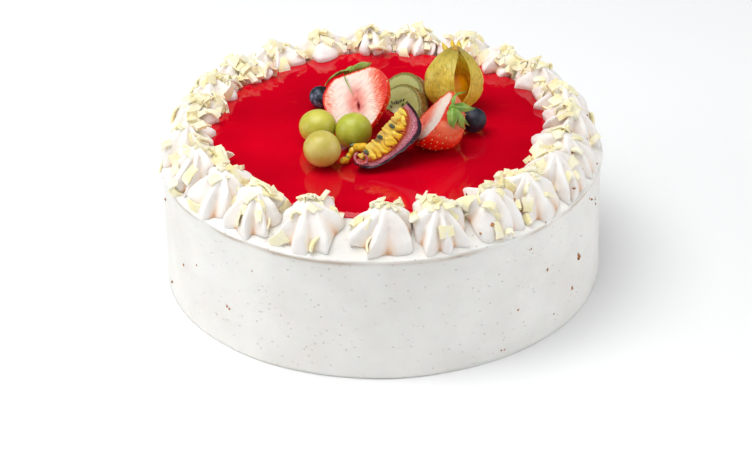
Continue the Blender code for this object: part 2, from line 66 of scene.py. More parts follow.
# Camera: a long lens looks down on the cake from the front, turned a little about its own axis.
MM = 0.001
CAMERA_DISTANCE = 1.621
camera_data = bpy.data.cameras.new("camera")
camera_data.sensor_width = 36
camera_data.lens = 140.3
camera = bpy.data.objects.new("camera", camera_data)
bpy.context.scene.collection.objects.link(camera)
bpy.context.scene.camera = camera
bpy.context.scene.view_settings.view_transform = "Standard"
elevation = math.radians(30.34)
aim = Vector((-3.5, 0, 15.5)) * MM
back = Vector((0, -math.cos(elevation), math.sin(elevation)))
look = (-back).to_track_quat("-Z", "Y").to_matrix().to_4x4()
roll = Matrix.Rotation(math.radians(-1.13), 4, "Z")
camera.matrix_world = Matrix.Translation(aim + back * CAMERA_DISTANCE) @ look @ roll

# Cream coat: the cake is coated in whipped cream, drawn round the side with a palette knife held upright.
# The side keeps broad shallow strokes and fine pores, and a thin lip of cream stands at its top.
CAKE_RADIUS = 120 * MM
CAKE_HEIGHT = 84 * MM
JELLY_RADIUS = 91 * MM
JELLY_EDGE = 95 * MM
JELLY_THICKNESS = 3 * MM
SHOULDER_TILT = math.radians(24)
SHOULDER_END = CAKE_RADIUS - 1.5 * MM
SIDE_WAVE = 0.7 * MM
GAP = 0.3 * MM
COAT_COLUMNS = 600


def closed(points):
    """A closed surface over a grid of points: two triangles for each cell, the columns joined all round,
    the first and the last row one point each. Its faces point outwards, so that the sum of the signed
    tetrahedra that they make with the origin is positive."""
    rows, columns = points.shape[:2]
    number = np.arange(rows * columns).reshape(rows, columns)
    number[[0, -1]] = number[[0, -1], :1]
    number = np.hstack([number, number[:, :1]])
    a, b, c, d = number[:-1, :-1], number[:-1, 1:], number[1:, 1:], number[1:, :-1]
    faces = np.stack([np.stack([a, b, c], -1), np.stack([a, c, d], -1)]).reshape(-1, 3)
    faces = faces[(faces != np.roll(faces, 1, axis=1)).all(axis=1)]
    points = points.reshape(-1, 3)
    a, b, c = (points[faces[:, i]] for i in range(3))
    return points, faces if np.einsum("ij,ij->", a, np.cross(b, c)) > 0 else faces[:, ::-1]


def piece(name, shapes, material, replaced=(), shade=None, uv=None, smooth=True):
    """One mesh object of several shapes; shade gives attributes, a number for each point, and uv a pair."""
    starts = np.cumsum([0] + [len(points) for points, _ in shapes])
    points = np.concatenate([points for points, _ in shapes])
    faces = np.concatenate([faces + start for (_, faces), start in zip(shapes, starts)])
    used, renumbered = np.unique(faces, return_inverse=True)
    mesh = bpy.data.meshes.new(name)
    mesh.vertices.add(len(used))
    mesh.vertices.foreach_set("co", points[used].astype(np.float32).ravel())
    mesh.loops.add(faces.size)
    mesh.loops.foreach_set("vertex_index", renumbered.astype(np.int32).ravel())
    mesh.polygons.add(len(faces))
    mesh.polygons.foreach_set("loop_start", np.arange(0, faces.size, 3, dtype=np.int32))
    mesh.polygons.foreach_set("use_smooth", np.full(len(faces), smooth))
    mesh.materials.append(material)
    mesh.update(calc_edges=True)
    for label, values in (shade or {}).items():
        attribute = mesh.attributes.new(label, "FLOAT", "POINT")
        attribute.data.foreach_set("value", np.asarray(values, np.float32).ravel()[used])
    if uv is not None:
        layer = mesh.uv_layers.new(name="UVMap")
        layer.uv.foreach_set("vector", uv.reshape(-1, 2)[faces].astype(np.float32).ravel())
    made = bpy.data.objects.new(name, mesh)
    bpy.context.scene.collection.objects.link(made)
    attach(made, "root")
    if replaced:
        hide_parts(*replaced)
    return made


def ripple(points, size, seed, waves=14):
    """An uneven field near -1 to 1: the mean of plane waves about that long, in random ways and phases."""
    draw = np.random.default_rng(seed)
    ways = draw.normal(size=(waves, 3))
    ways *= (2 * math.pi / (size * draw.uniform(0.7, 1.5, waves)) / np.linalg.norm(ways, axis=1))[:, None]
    return np.sin(points @ ways.T + draw.uniform(0, 2 * math.pi, waves)).sum(-1) / math.sqrt(waves)


def bell(distance, width):
    """1 at no distance, 0.37 at that width: e to the power of minus the square of their ratio."""
    return np.exp(-((distance / width) ** 2))


def linear(colour):
    """The linear colour of an sRGB hex value."""
    parts = [int(colour[i : i + 2], 16) / 255 for i in (1, 3, 5)]
    return tuple(c / 12.92 if c <= 0.04045 else ((c + 0.055) / 1.055) ** 2.4 for c in parts) + (1,)


USUAL_OUTPUT = {"ShaderNodeTexCoord": "Object", "ShaderNodeAttribute": "Fac", "ShaderNodeMix": 2}


def node(tree, kind, settings, others):
    """Adds a node, or takes one that is there. A setting is a property, the stops of a ramp or the value of
    an input; where it is the name of one of the others, it is a link from that one's usual output."""
    made = tree.nodes.new("ShaderNode" + kind) if isinstance(kind, str) else kind
    for name, value in settings.items():
        if name == "stops":
            ramp = made.color_ramp
            while len(ramp.elements) < len(value):
                ramp.elements.new(0.5)
            for stop, (place, colour) in zip(ramp.elements, value.items()):
                stop.position = place
                stop.color = linear(colour) if isinstance(colour, str) else (colour, colour, colour, 1)
        elif isinstance(name, str) and hasattr(made, name):
            setattr(made, name, value)
        elif isinstance(value, str) and value in others:
            source = others[value]
            tree.links.new(source.outputs[USUAL_OUTPUT.get(source.bl_idname, 0)], made.inputs[name])
        else:
            made.inputs[name].default_value = linear(value) if isinstance(value, str) else value
    return made


def finish(name, sockets, **layers):
    """A material: one Principled shader with those sockets, fed by the layers, each the kind and settings
    of a node. A texture lies on the piece's own coordinates, where nothing else is said."""
    material = bpy.data.materials.new(name)
    material.use_nodes = True
    tree = material.node_tree
    made = {"place": tree.nodes.new("ShaderNodeTexCoord")}
    for label, (kind, settings) in layers.items():
        if kind == "Mix":
            settings = {"data_type": "RGBA", **settings}
        elif kind.startswith("Tex"):
            settings = {"Vector": "place", **settings}
        made[label] = node(tree, kind, settings, made)
    node(tree, tree.nodes["Principled BSDF"], sockets, made)
    return material


def side_wave(angle, height):
    """How far the side is in or out of round, from -1 to 1: three slow waves round the cake."""
    share = height / CAKE_HEIGHT
    return (
        0.5 * np.sin(3 * angle + 0.8)
        + 0.3 * np.sin(7 * angle + 2.5 * share)
        + 0.2 * np.sin(11 * angle - 3 * share)
    )


def along_profile(corners, counts):
    """Points on straight lines between the corners, with that many steps on each line."""
    corners = np.asarray(corners, float)
    shares = np.concatenate([i + np.arange(n) / n for i, n in enumerate(counts)] + [[len(counts)]])
    at = np.arange(len(corners))
    return np.stack([np.interp(shares, at, corners[:, 0]), np.interp(shares, at, corners[:, 1])], -1)


def turned(radius, height, turn):
    """Points at that radius and height, turned about Z from the front (-Y) towards the right (+X)."""
    return np.stack([radius * np.sin(turn), -radius * np.cos(turn), height + 0 * turn], -1)


def cake_surface(radius):
    """The height of the cake's top: level as far as the jelly reaches, then sloping down."""
    return CAKE_HEIGHT - np.maximum(0, radius - JELLY_RADIUS) * math.tan(SHOULDER_TILT)


well = CAKE_HEIGHT - JELLY_THICKNESS - GAP
shoulder_low = float(cake_surface(SHOULDER_END))
coat_profile = along_profile(
    [
        (0, well),
        (JELLY_EDGE + GAP, well),
        (JELLY_EDGE + GAP, float(cake_surface(JELLY_EDGE + GAP))),
        (SHOULDER_END, shoulder_low),
        (CAKE_RADIUS, shoulder_low - 0.7 * MM),
        (CAKE_RADIUS - 0.1 * MM, shoulder_low - 1.5 * MM),
        (CAKE_RADIUS - 0.9 * MM, shoulder_low - 2.4 * MM),
        (CAKE_RADIUS - 0.7 * MM, 10 * MM),
        (CAKE_RADIUS - 0.1 * MM, 2 * MM),
        (CAKE_RADIUS - 1 * MM, 0),
        (0, 0),
    ],
    (3, 2, 26, 3, 3, 3, 88, 12, 4, 3),
)
turn = np.linspace(0, 2 * math.pi, COAT_COLUMNS, endpoint=False)
coat_radius = coat_profile[:, :1] + 0 * turn
coat_z = coat_profile[:, 1:] + 0 * turn
on_side = np.clip((coat_profile[:, :1] - JELLY_RADIUS - 4 * MM) / (8 * MM), 0, 1)
on_side = on_side * (coat_profile[:, 1:] > 0)
lip = bell(coat_profile[:, 1:] - shoulder_low + 1 * MM, 1.6 * MM) * on_side
place = turned(coat_radius, coat_z, turn)
stroke = ripple(place * (1, 1, 2.6), 52 * MM, 3) + 0.5 * ripple(place * (1, 1, 4), 24 * MM, 4)
drag = ripple(np.stack([turn * 20 * MM + 0 * coat_z, coat_z * 9, 0 * coat_z], -1), 9 * MM, 5)
relief = 0.30 * stroke + 0.14 * np.abs(ripple(place * (1, 1, 1.8), 15 * MM, 6)) + 0.07 * drag
relief = relief - 0.3 + lip * (0.55 * ripple(place, 34 * MM, 7) + 0.25 * ripple(place, 9 * MM, 8))
wave = SIDE_WAVE * side_wave(turn - math.pi / 2, coat_z)
coat_radius = coat_radius + on_side * (wave + relief * 0.55 * MM)
coat_radius = np.minimum(coat_radius, (CAKE_RADIUS + wave))
coat_points = turned(coat_radius, coat_z, turn)
# Just under the lip a patchy band of painted shadow, warm tan, stands in for the shade the lip casts
patchy = np.clip(0.55 + 0.5 * ripple(place, 26 * MM, 9), 0, 1)
under_lip = bell(coat_z - shoulder_low + 2.4 * MM, 1.1 * MM) * patchy * on_side * 0.8

# Whipped cream: fat and air, matt and warm white, with pores under a millimetre across. The pores are
# drawn at 0.9 mm, as fine as the picture shows, and the pits at 4 mm.
cream_coat = finish(
    "whipped_cream_coat",
    {"Roughness": 0.62, "IOR": 1.4, "Subsurface Weight": 0.12, "Subsurface Scale": 0.003}
    | {"Base Color": "dusted", "Normal": "pitted"},
    pores=("TexNoise", {"Scale": 900, "Detail": 3}),
    cloud=("TexNoise", {"Scale": 34, "Detail": 4}),
    pits=("TexVoronoi", {"Scale": 260}),
    pit_depth=("ValToRGB", {"stops": {0.03: 0.0, 0.16: 1.0}, "Fac": "pits"}),
    white=("ValToRGB", {"stops": {0.3: "#E9E6E0", 0.55: "#EFEDE8", 0.72: "#F4F1EB"}, "Fac": "cloud"}),
    fine=("Bump", {"Strength": 0.5, "Distance": 0.0005, "Height": "pores"}),
    pitted=("Bump", {"Strength": 0.7, "Distance": 0.0008, "Height": "pit_depth", "Normal": "fine"}),
    lip_share=("Attribute", {"attribute_name": "under_lip"}),
    pit_shade=("ValToRGB", {"stops": {0.05: "#E2DCD2", 0.14: "#FFFFFF"}, "Fac": "pits"}),
    pocked=("Mix", {"blend_type": "MULTIPLY", 0: 0.5, 6: "white", 7: "pit_shade"}),
    # Painted shadow: under the lip the cream is mixed with tan
    dusted=("Mix", {0: "lip_share", 6: "pocked", 7: "#B8A086"}),
)
shade = {"under_lip": under_lip}
piece("cream_coat", [closed(coat_points)], cream_coat, ["cake_body"], shade)

# Sponge crumbs: crumbs of the browned sponge came off on the knife and stuck in the cream, most of them on
# the side's right half. Each is an uneven pebble of some 30 faces, pressed half way in.
CRUMB_PLACES = (  # degrees from the front, height and size in mm
    (75, 52, 1.5), (74.5, 56, 1.1), (62, 33, 2.1), (61, 35.5, 1.3), (58, 19, 1.4),
    (47, 41, 2.0), (36, 26.5, 1.5), (49, 11.5, 1.4), (31, 4.5, 1.2), (38, 18, 0.9),
    (63, 46, 0.9), (70, 60, 1.8), (69, 62, 1.4), (40, 60, 0.9),
)
CRUMB_UNEVEN = 0.35
SIDE_ROWS = slice(40, -8)


def ball(rows, columns):
    """A unit ball: the angle from +Z down the rows, the turn about Z round the columns."""
    polar = np.linspace(0, math.pi, rows)[:, None]
    turn = np.linspace(0, 2 * math.pi, columns, endpoint=False)
    ring = np.sin(polar)
    return np.stack([ring * np.cos(turn), ring * np.sin(turn), np.cos(polar) + 0 * turn], -1)


def pebble(middle, size, draw):
    """A ball of 6 columns and 3 rings whose points stand in or out at random."""
    unit = ball(5, 6)
    unit = unit * (1 + draw.uniform(-CRUMB_UNEVEN, CRUMB_UNEVEN, unit.shape[:2])[..., None])
    spin = np.linalg.qr(draw.normal(size=(3, 3)))[0]
    return closed(unit @ spin * draw.uniform(0.7, 1.2, 3) * size / 2 + middle)


draw = np.random.default_rng(11)
crumbs = []
strays = zip(draw.uniform(80, 330, 34), draw.uniform(4, 64, 34), draw.uniform(0.7, 1.9, 34))
for degrees, height, size in list(CRUMB_PLACES) + list(strays):
    angle = math.radians(degrees)
    column = int(round(angle / (2 * math.pi) * COAT_COLUMNS)) % COAT_COLUMNS
    row = int(np.argmin(np.abs(coat_profile[SIDE_ROWS, 1] - height * MM))) + SIDE_ROWS.start
    middle = coat_points[row, column] * (1 - 0.2 * MM / CAKE_RADIUS, 1 - 0.2 * MM / CAKE_RADIUS, 1)
    for _ in range(draw.integers(1, 4)):
        up = draw.normal(0, 0.5) * MM
        side = np.array([math.cos(angle), math.sin(angle), 0]) * draw.normal(0, 0.5) * MM * size
        crumbs.append(pebble(middle + side + (0, 0, up), size * 1.05 * MM, draw))

# Baked sponge: a dry open crumb, golden brown where it browned, and rough.
sponge = finish(
    "sponge_crumb",
    {"Roughness": 0.85, "Base Color": "brown"},
    bake=("TexNoise", {"Scale": 420}),
    brown=("ValToRGB", {"stops": {0.35: "#8A4E22", 0.65: "#C98C4E"}, "Fac": "bake"}),
)
piece("sponge_crumbs", crumbs, sponge)

# Jelly: blood orange jelly was poured on the cake and set level; its edge ran a little way down the
# shoulder. Its surface is liquid-smooth with slow swells that bend what it mirrors.
jelly_profile = along_profile(
    [
        (0, CAKE_HEIGHT),
        (JELLY_RADIUS, CAKE_HEIGHT),
        (JELLY_EDGE - 0.5 * MM, float(cake_surface(JELLY_EDGE - 0.5 * MM))),
        (JELLY_EDGE, float(cake_surface(JELLY_EDGE)) - 0.3 * MM),
        (JELLY_EDGE, CAKE_HEIGHT - JELLY_THICKNESS),
        (0, CAKE_HEIGHT - JELLY_THICKNESS),
    ],
    (64, 5, 2, 2, 2),
)
jelly_radius, jelly_z = jelly_profile[:, :1], jelly_profile[:, 1:]
jelly_points = turned(jelly_radius, jelly_z, np.linspace(0, 2 * math.pi, 300, endpoint=False))
on_top = (jelly_z > CAKE_HEIGHT - 0.2 * MM) * (jelly_radius > 0)
swell = 0.10 * ripple(jelly_points, 40 * MM, 21) + 0.03 * ripple(jelly_points, 13 * MM, 22) - 0.12
jelly_points[..., 2] += on_top * swell * MM

# Gelatine jelly: clear red and wet over an opaque mousse, so it looks deep red with a sharp gloss. Faint
# orange streaks are the pulp of the fruit, some 10 mm long and 1 mm wide.
red_jelly = finish(
    "blood_orange_jelly",
    {"Roughness": 0.06, "IOR": 1.34, "Base Color": "red"},
    drawn_out=("Mapping", {"Scale": (1, 4.5, 1), "Vector": "place"}),
    streak=("TexNoise", {"Scale": 70, "Detail": 6, "Distortion": 0.6, "Vector": "drawn_out"}),
    cloud=("TexNoise", {"Scale": 16, "Detail": 2}),
    depth=("ValToRGB", {"stops": {0.3: "#BA0019", 0.55: "#CE001D", 0.75: "#DE0220"}, "Fac": "cloud"}),
    where_streak=("ValToRGB", {"stops": {0.66: 0.0, 0.78: 0.4}, "Fac": "streak"}),
    red=("Mix", {0: "where_streak", 6: "depth", 7: "#E83A10"}),
)
piece("jelly_glaze", [closed(jelly_points)], red_jelly, ["jelly_top"])

# Piped stars: the border is whipped cream piped through an open star nozzle, one star at a time. Each has
# seven petals that stand out like wings, deep folds between them, and a blunt peak where the nozzle left.
FRONT_STARS = (-54, -38.5, -21, 1, 16, 32.5, 48, 62, 75)
STAR_COUNT = 23
STAR_RING = 102.5 * MM
STAR_RADIUS = 19.5 * MM
STAR_HEIGHT = 14.2 * MM
STAR_PETALS = 7
GROOVE_DEPTH = 0.42
STAR_SEED = 46
# Share of the radius and share of the height of the petals' crests: they bulge out over the foot, and the
# ones towards the jelly are slimmer
PETAL_PROFILE = (
    (0.94, 0.0), (1.01, 0.11), (0.98, 0.27), (0.82, 0.52),
    (0.55, 0.76), (0.3, 0.9), (0.15, 0.97), (0.0, 1.0),
)
INNER_PROFILE = (
    (0.88, 0.0), (0.96, 0.12), (0.92, 0.26), (0.72, 0.5),
    (0.44, 0.75), (0.24, 0.9), (0.13, 0.97), (0.0, 1.0),
)
# Depth of the folds as a share of the radius, at each share of the height
FOLD_HEIGHTS = (0, 0.2, 0.45, 0.75, 0.92, 1)
FOLD_DEPTHS = (0.26, 0.33, 0.42, 0.46, 0.25, 0.1)
PETAL_REACH = 116 * MM
STAR_COLUMNS = 112
STAR_ROWS = 40
FOOT_ROWS = 4

rest = STAR_COUNT - len(FRONT_STARS)
way = 360 - FRONT_STARS[-1] + FRONT_STARS[0]
star_angles = list(FRONT_STARS) + [FRONT_STARS[-1] + way * (i + 1) / (rest + 1) for i in range(rest)]
box_low, box_high = np.array(cad_box)


def smooth_curve(values, at, where):
    """A cubic curve through the values, whose slope at each is that of its two neighbours (Catmull-Rom)."""
    values, at, where = np.asarray(values, float), np.asarray(at, float), np.asarray(where, float)
    slope = np.gradient(values, at, axis=0)
    i = np.clip(np.searchsorted(at, where, side="right") - 1, 0, len(at) - 2)
    width = at[i + 1] - at[i]
    t = (where - at[i]) / width
    if values.ndim > 1:
        t, width = t[..., None], width[..., None]
    return (
        values[i] * (2 * t**3 - 3 * t**2 + 1)
        + slope[i] * width * (t**3 - 2 * t**2 + t)
        + values[i + 1] * (3 * t**2 - 2 * t**3)
        + slope[i + 1] * width * (t**3 - t**2)
    )


class Star:
    """One piped star in its own frame: X towards the star before it, Y outwards, Z up its leaning axis."""

    def __init__(self, index):
        draw = random.Random(STAR_SEED + index)
        here = star_angles[index]
        before = star_angles[index - 1] - (360 if index == 0 else 0)
        after = star_angles[(index + 1) % STAR_COUNT] + (360 if index == STAR_COUNT - 1 else 0)
        self.before = math.tan(math.radians((here - before) / 2))
        self.after = math.tan(math.radians((after - here) / 2))
        self.angle = math.radians(here)
        self.radius = STAR_RADIUS * draw.uniform(0.95, 1.04)
        self.height = STAR_HEIGHT * draw.uniform(0.92, 1.1)
        self.phase = math.pi / 2 + draw.uniform(-0.3, 0.3)
        self.twist = draw.uniform(-0.15, 0.4)
        self.lean = (draw.uniform(-1.5, 1.5) * MM, draw.uniform(-6, -4) * MM)
        self.petal_sizes = np.array([draw.uniform(0.9, 1.06) for _ in range(STAR_PETALS)])
        self.draw = draw
        self.index = index

    def side_limit(self, y, z, side):
        """How far from the star's middle plane the neighbour begins, at that height and distance."""
        out = STAR_RING + y * math.cos(SHOULDER_TILT) + z * math.sin(SHOULDER_TILT)
        return out * np.where(side > 0, self.before, self.after) - GAP

    def squeeze(self, x, y, z):
        """A star spreads into a wide space and is flattened in a narrow one: x never passes the limit."""
        limit = self.side_limit(y, z, x)
        spread = x * np.maximum(1.0, 1.06 * self.side_limit(0 * x, 0 * x, x) / self.radius)
        return spread / (1 + (np.abs(spread) / limit) ** 8) ** 0.125

    def petal_size(self, angle):
        """The size of the petals on both sides of that angle, by how near each one is."""
        place = angle / (2 * math.pi) * STAR_PETALS
        before = np.floor(place).astype(int)
        share = place - before
        sizes = self.petal_sizes
        return sizes[before % STAR_PETALS] * (1 - share) + sizes[(before + 1) % STAR_PETALS] * share

    def place(self, radius, angle, height_share):
        """Twists and leans the star as it rises, and squeezes it between its neighbours."""
        turned_by = angle + self.phase + self.twist * height_share
        x = radius * np.cos(turned_by) + self.lean[0] * height_share**2
        y = radius * np.sin(turned_by) + self.lean[1] * height_share**2
        z = self.height * height_share
        return np.stack([self.squeeze(x, y, z), y, z + 0 * x], -1)

    def point(self, angle, radius_share, height_share):
        """A point of the solid's coarse star, where its shavings are fixed."""
        groove = 1 - np.abs(np.cos(STAR_PETALS * angle / 2))
        radius = self.radius * self.petal_size(angle) * radius_share * (1 - GROOVE_DEPTH * groove)
        return self.place(radius, angle, height_share)

    def matrix(self):
        """Stands the star on the sloping shoulder."""
        seat_z = CAKE_HEIGHT - (STAR_RING - JELLY_RADIUS) * math.tan(SHOULDER_TILT)
        seat = Matrix.Translation((0, -STAR_RING, seat_z)) @ Matrix.Rotation(math.pi, 4, "Z")
        tilt = Matrix.Rotation(-SHOULDER_TILT, 4, "X")
        return Matrix.Rotation(self.angle, 4, "Z") @ seat @ tilt @ Matrix.Translation((0, 0, GAP))

    def stand(self, points, foot):
        """Puts points on the cake; where foot is 1 they are lowered to the cake's own surface."""
        matrix = np.array(self.matrix())
        world = points @ matrix[:3, :3].T + matrix[:3, 3]
        out = world @ (math.sin(self.angle), -math.cos(self.angle), 0)
        plane = CAKE_HEIGHT - (out - JELLY_RADIUS) * math.tan(SHOULDER_TILT)
        real = cake_surface(np.hypot(world[..., 0], world[..., 1]))
        world[..., 2] += (real - plane - 0.4 * MM) * foot
        return world

    def build(self):
        """The fine star and the painted shade of its folds. Across a petal the radius falls off as the sine
        of its
        half turn to a power: about 1 gives a thin wing with a hollow on both sides, 3.2 a broad petal with
        a narrow crease beside it."""
        draw = np.random.default_rng(500 + self.index)
        rise = np.linspace(0, 1, STAR_ROWS)
        above_foot = np.linspace(0, 1, STAR_ROWS - FOOT_ROWS) ** 1.08
        height_share = np.append(np.zeros(FOOT_ROWS), above_foot)[:, None]
        angle = np.linspace(0, 2 * math.pi, STAR_COLUMNS, endpoint=False)[None, :]
        inward = np.clip(-1.3 * np.sin(angle + self.phase + self.twist * height_share), 0, 1)
        outer, inner = (
            np.maximum(0, smooth_curve(*zip(*curve), height_share[:, 0]))[:, None]
            for curve in (PETAL_PROFILE, INNER_PROFILE)
        )
        profile = outer + (inner - outer) * inward
        profile[:FOOT_ROWS] *= np.linspace(0, 1, FOOT_ROWS, endpoint=False)[:, None] ** 0.5
        profile[-1] = 0
        # Two slow waves crowd some petals and leave others broad
        shifted = angle + 0.2 * np.sin(angle + draw.uniform(0, 6))
        shifted = shifted + 0.13 * np.sin(2 * angle + draw.uniform(0, 6))
        petal = np.floor(shifted / (2 * math.pi) * STAR_PETALS + 0.5).astype(int) % STAR_PETALS
        half_turn = np.abs(np.sin(STAR_PETALS * shifted / 2))
        power = np.where(draw.uniform(size=STAR_PETALS) < 0.78, draw.uniform(0.8, 1.5, STAR_PETALS), 3.2)
        lobe = 1 - half_turn ** power[petal]
        # The wing of a petal folds over to one side as it hangs, more so towards its foot
        swing = draw.uniform(-0.24, 0.24, STAR_PETALS)[petal] * lobe * (1 - height_share) ** 1.5
        fullness = draw.uniform(-0.16, 0.1, STAR_PETALS)[petal] * lobe
        depth = np.interp(height_share[:, 0], FOLD_HEIGHTS, FOLD_DEPTHS)[:, None]
        radius = self.radius * self.petal_size(angle) * profile * (1 - depth * (1 - lobe))
        radius = radius * (1 + fullness * np.sin(math.pi * height_share**0.8))
        points = self.place(radius, angle + swing, height_share)
        # The foot runs out a little towards the jelly, and more towards the side
        low = np.clip(1 - height_share * 1.6, 0, 1)
        points[..., 1] -= 1.2 * MM * (np.clip(-points[..., 1] / self.radius, 0, 1) * low)
        points[..., 1] += 3.8 * MM * (np.clip(points[..., 1] / self.radius, 0, 1) * low)
        side = points * (1, 1, 0)
        side = side / (np.linalg.norm(side, axis=-1, keepdims=True) + 2 * MM)
        uneven = 0.45 * ripple(points, 8 * MM, 700 + self.index)
        uneven = uneven + 0.1 * ripple(points, 2.2 * MM, 800 + self.index)
        points = points + side * (uneven * MM * np.sin(math.pi * rise)[:, None])[..., None]
        limit = self.side_limit(points[..., 1], points[..., 2], points[..., 0])
        points[..., 0] = np.sign(points[..., 0]) * np.minimum(np.abs(points[..., 0]), limit)
        points[0], points[-1] = points[0].mean(0), points[-1].mean(0)
        # Painted shade: the deep folds and the places pressed on a neighbour get the peach colour
        fold = (1 - lobe) ** 2 * np.clip(1.1 - height_share, 0, 1) * (rise[:, None] > 0)
        pressed = np.clip(np.abs(points[..., 0]) / limit - 0.92, 0, 0.08) * 6 * low
        # No petal hangs over the lip of the side
        world = self.stand(points, np.clip(1 - height_share * 1.7, 0, 1) ** 1.2)
        reach = np.hypot(world[..., 0], world[..., 1])
        over = np.maximum(0, reach - PETAL_REACH)
        held = PETAL_REACH + 4 * MM * (1 - np.exp(-over / (4 * MM)))
        world[..., :2] *= np.where(over > 0, held / np.maximum(reach, MM), 1.0)[..., None]
        self.grid = np.clip(world, box_low, box_high)
        return closed(self.grid), np.maximum(fold, pressed)


stars = [Star(index) for index in range(STAR_COUNT)]
built = [star.build() for star in stars]

# A few crumbs came up with the cream, most of them on the right
draw = np.random.default_rng(12)
star_crumbs = []
for number, count in ((5, 4), (6, 5), (7, 5), (8, 4), (9, 3), (1, 2), (13, 2)):
    for _ in range(count):
        row, column = int(draw.integers(8, 30)), int(draw.integers(0, STAR_COLUMNS))
        star_crumbs.append(pebble(stars[number].grid[row, column], draw.uniform(1.0, 2.2) * MM, draw))
piece("sponge_crumbs_on_stars", star_crumbs, sponge)

# Whipped cream again, smoother than the coat because the nozzle polished it. The folds between petals, and
# where a star presses on its neighbour, are painted peach: painted shade for light that goes through the
# cream many times there.
FOLD_SHADE_STOPS = {0.0: "#F8F5F1", 0.5: "#F6EFE8", 0.8: "#F2DFCC", 1.0: "#E2B088"}
cream_star = finish(
    "whipped_cream_piped",
    {"Roughness": 0.5, "IOR": 1.4, "Subsurface Weight": 0.15, "Subsurface Scale": 0.003}
    | {"Subsurface Radius": (1.0, 0.85, 0.7), "Base Color": "cream", "Normal": "soft"},
    fold=("Attribute", {"attribute_name": "fold"}),
    cloud=("TexNoise", {"Scale": 90, "Detail": 3}),
    grain=("TexNoise", {"Scale": 800, "Detail": 2}),
    warm=("ValToRGB", {"stops": FOLD_SHADE_STOPS, "Fac": "fold"}),
    tint=("ValToRGB", {"stops": {0.35: "#F8F0EB", 0.65: "#FFFFFF"}, "Fac": "cloud"}),
    cream=("Mix", {"blend_type": "MULTIPLY", 0: 0.6, 6: "warm", 7: "tint"}),
    soft=("Bump", {"Strength": 0.15, "Distance": 0.0003, "Height": "grain"}),
)
piece(
    "cream_stars",
    [shape for shape, _ in built],
    cream_star,
    [f"cream_star_{i + 1:02d}" for i in range(STAR_COUNT)],
    {"fold": np.concatenate([fold.ravel() for _, fold in built])},
)

# White chocolate shavings: a block was scraped with a knife over the border. Thick scrapes stayed flat
# shards, thin ones curled up into tubes, and both fell on the peaks and on the side towards the jelly.
SHAVINGS_PER_STAR = 4
SHAVING_THICKNESS = 1.1 * MM
SHAVING_SEATS = ((1.0, 0.22), (0.8, 0.62), (0.26, 0.92))  # share of the star's radius and of its height


def shaving(matrix, length, width, bend, thickness, draw):
    """A bar bent along an arc of bend radians: x and z follow the arc, y is the width, which tapers."""
    along = np.linspace(-0.5, 0.5, 3 + int(abs(bend) * 3.2))[:, None]
    corner = np.array([(-1, -0.5), (1, -0.5), (1, 0.5), (-1, 0.5)])
    taper = 1 - 0.3 * along + draw.uniform(-0.12, 0.12, along.shape)
    skew = draw.uniform(-0.25, 0.25)
    arc_radius = length / bend
    spiral = 1 - 0.06 * bend * np.abs(along + 0.5)
    radius = arc_radius * spiral + corner[:, 1] * thickness * (1 - 0.4 * np.abs(along) ** 2)
    x = radius * np.sin(along * bend)
    z = radius * np.cos(along * bend) - arc_radius
    y = corner[:, 0] * width / 2 * taper + skew * along * length * 0.3
    bar = np.stack([x, y, z], -1)
    first, last = (end.mean(1, keepdims=True) + 0 * end for end in (bar[:1], bar[-1:]))
    return closed(np.concatenate([first, bar, last]) @ matrix[:3, :3].T + matrix[:3, 3])


def shaving_pose(base, outward, spin, tip):
    """The frame of a shaving: its flat side faces outward, turned by spin and tipped by tip."""
    turn = Vector(outward).to_track_quat("Z", "Y").to_matrix().to_4x4()
    turn = turn @ Matrix.Rotation(spin, 4, "Z") @ Matrix.Rotation(tip, 4, "X")
    return Matrix.Translation(base) @ turn


def inside_box(shape):
    """The shape moved as a whole, by as much as its farthest point is outside the CAD's box."""
    points, faces = shape
    over = np.maximum(0, points - box_high) + np.minimum(0, points - box_low)
    return points - over[np.abs(over).argmax(0), np.arange(3)] * 1.02, faces


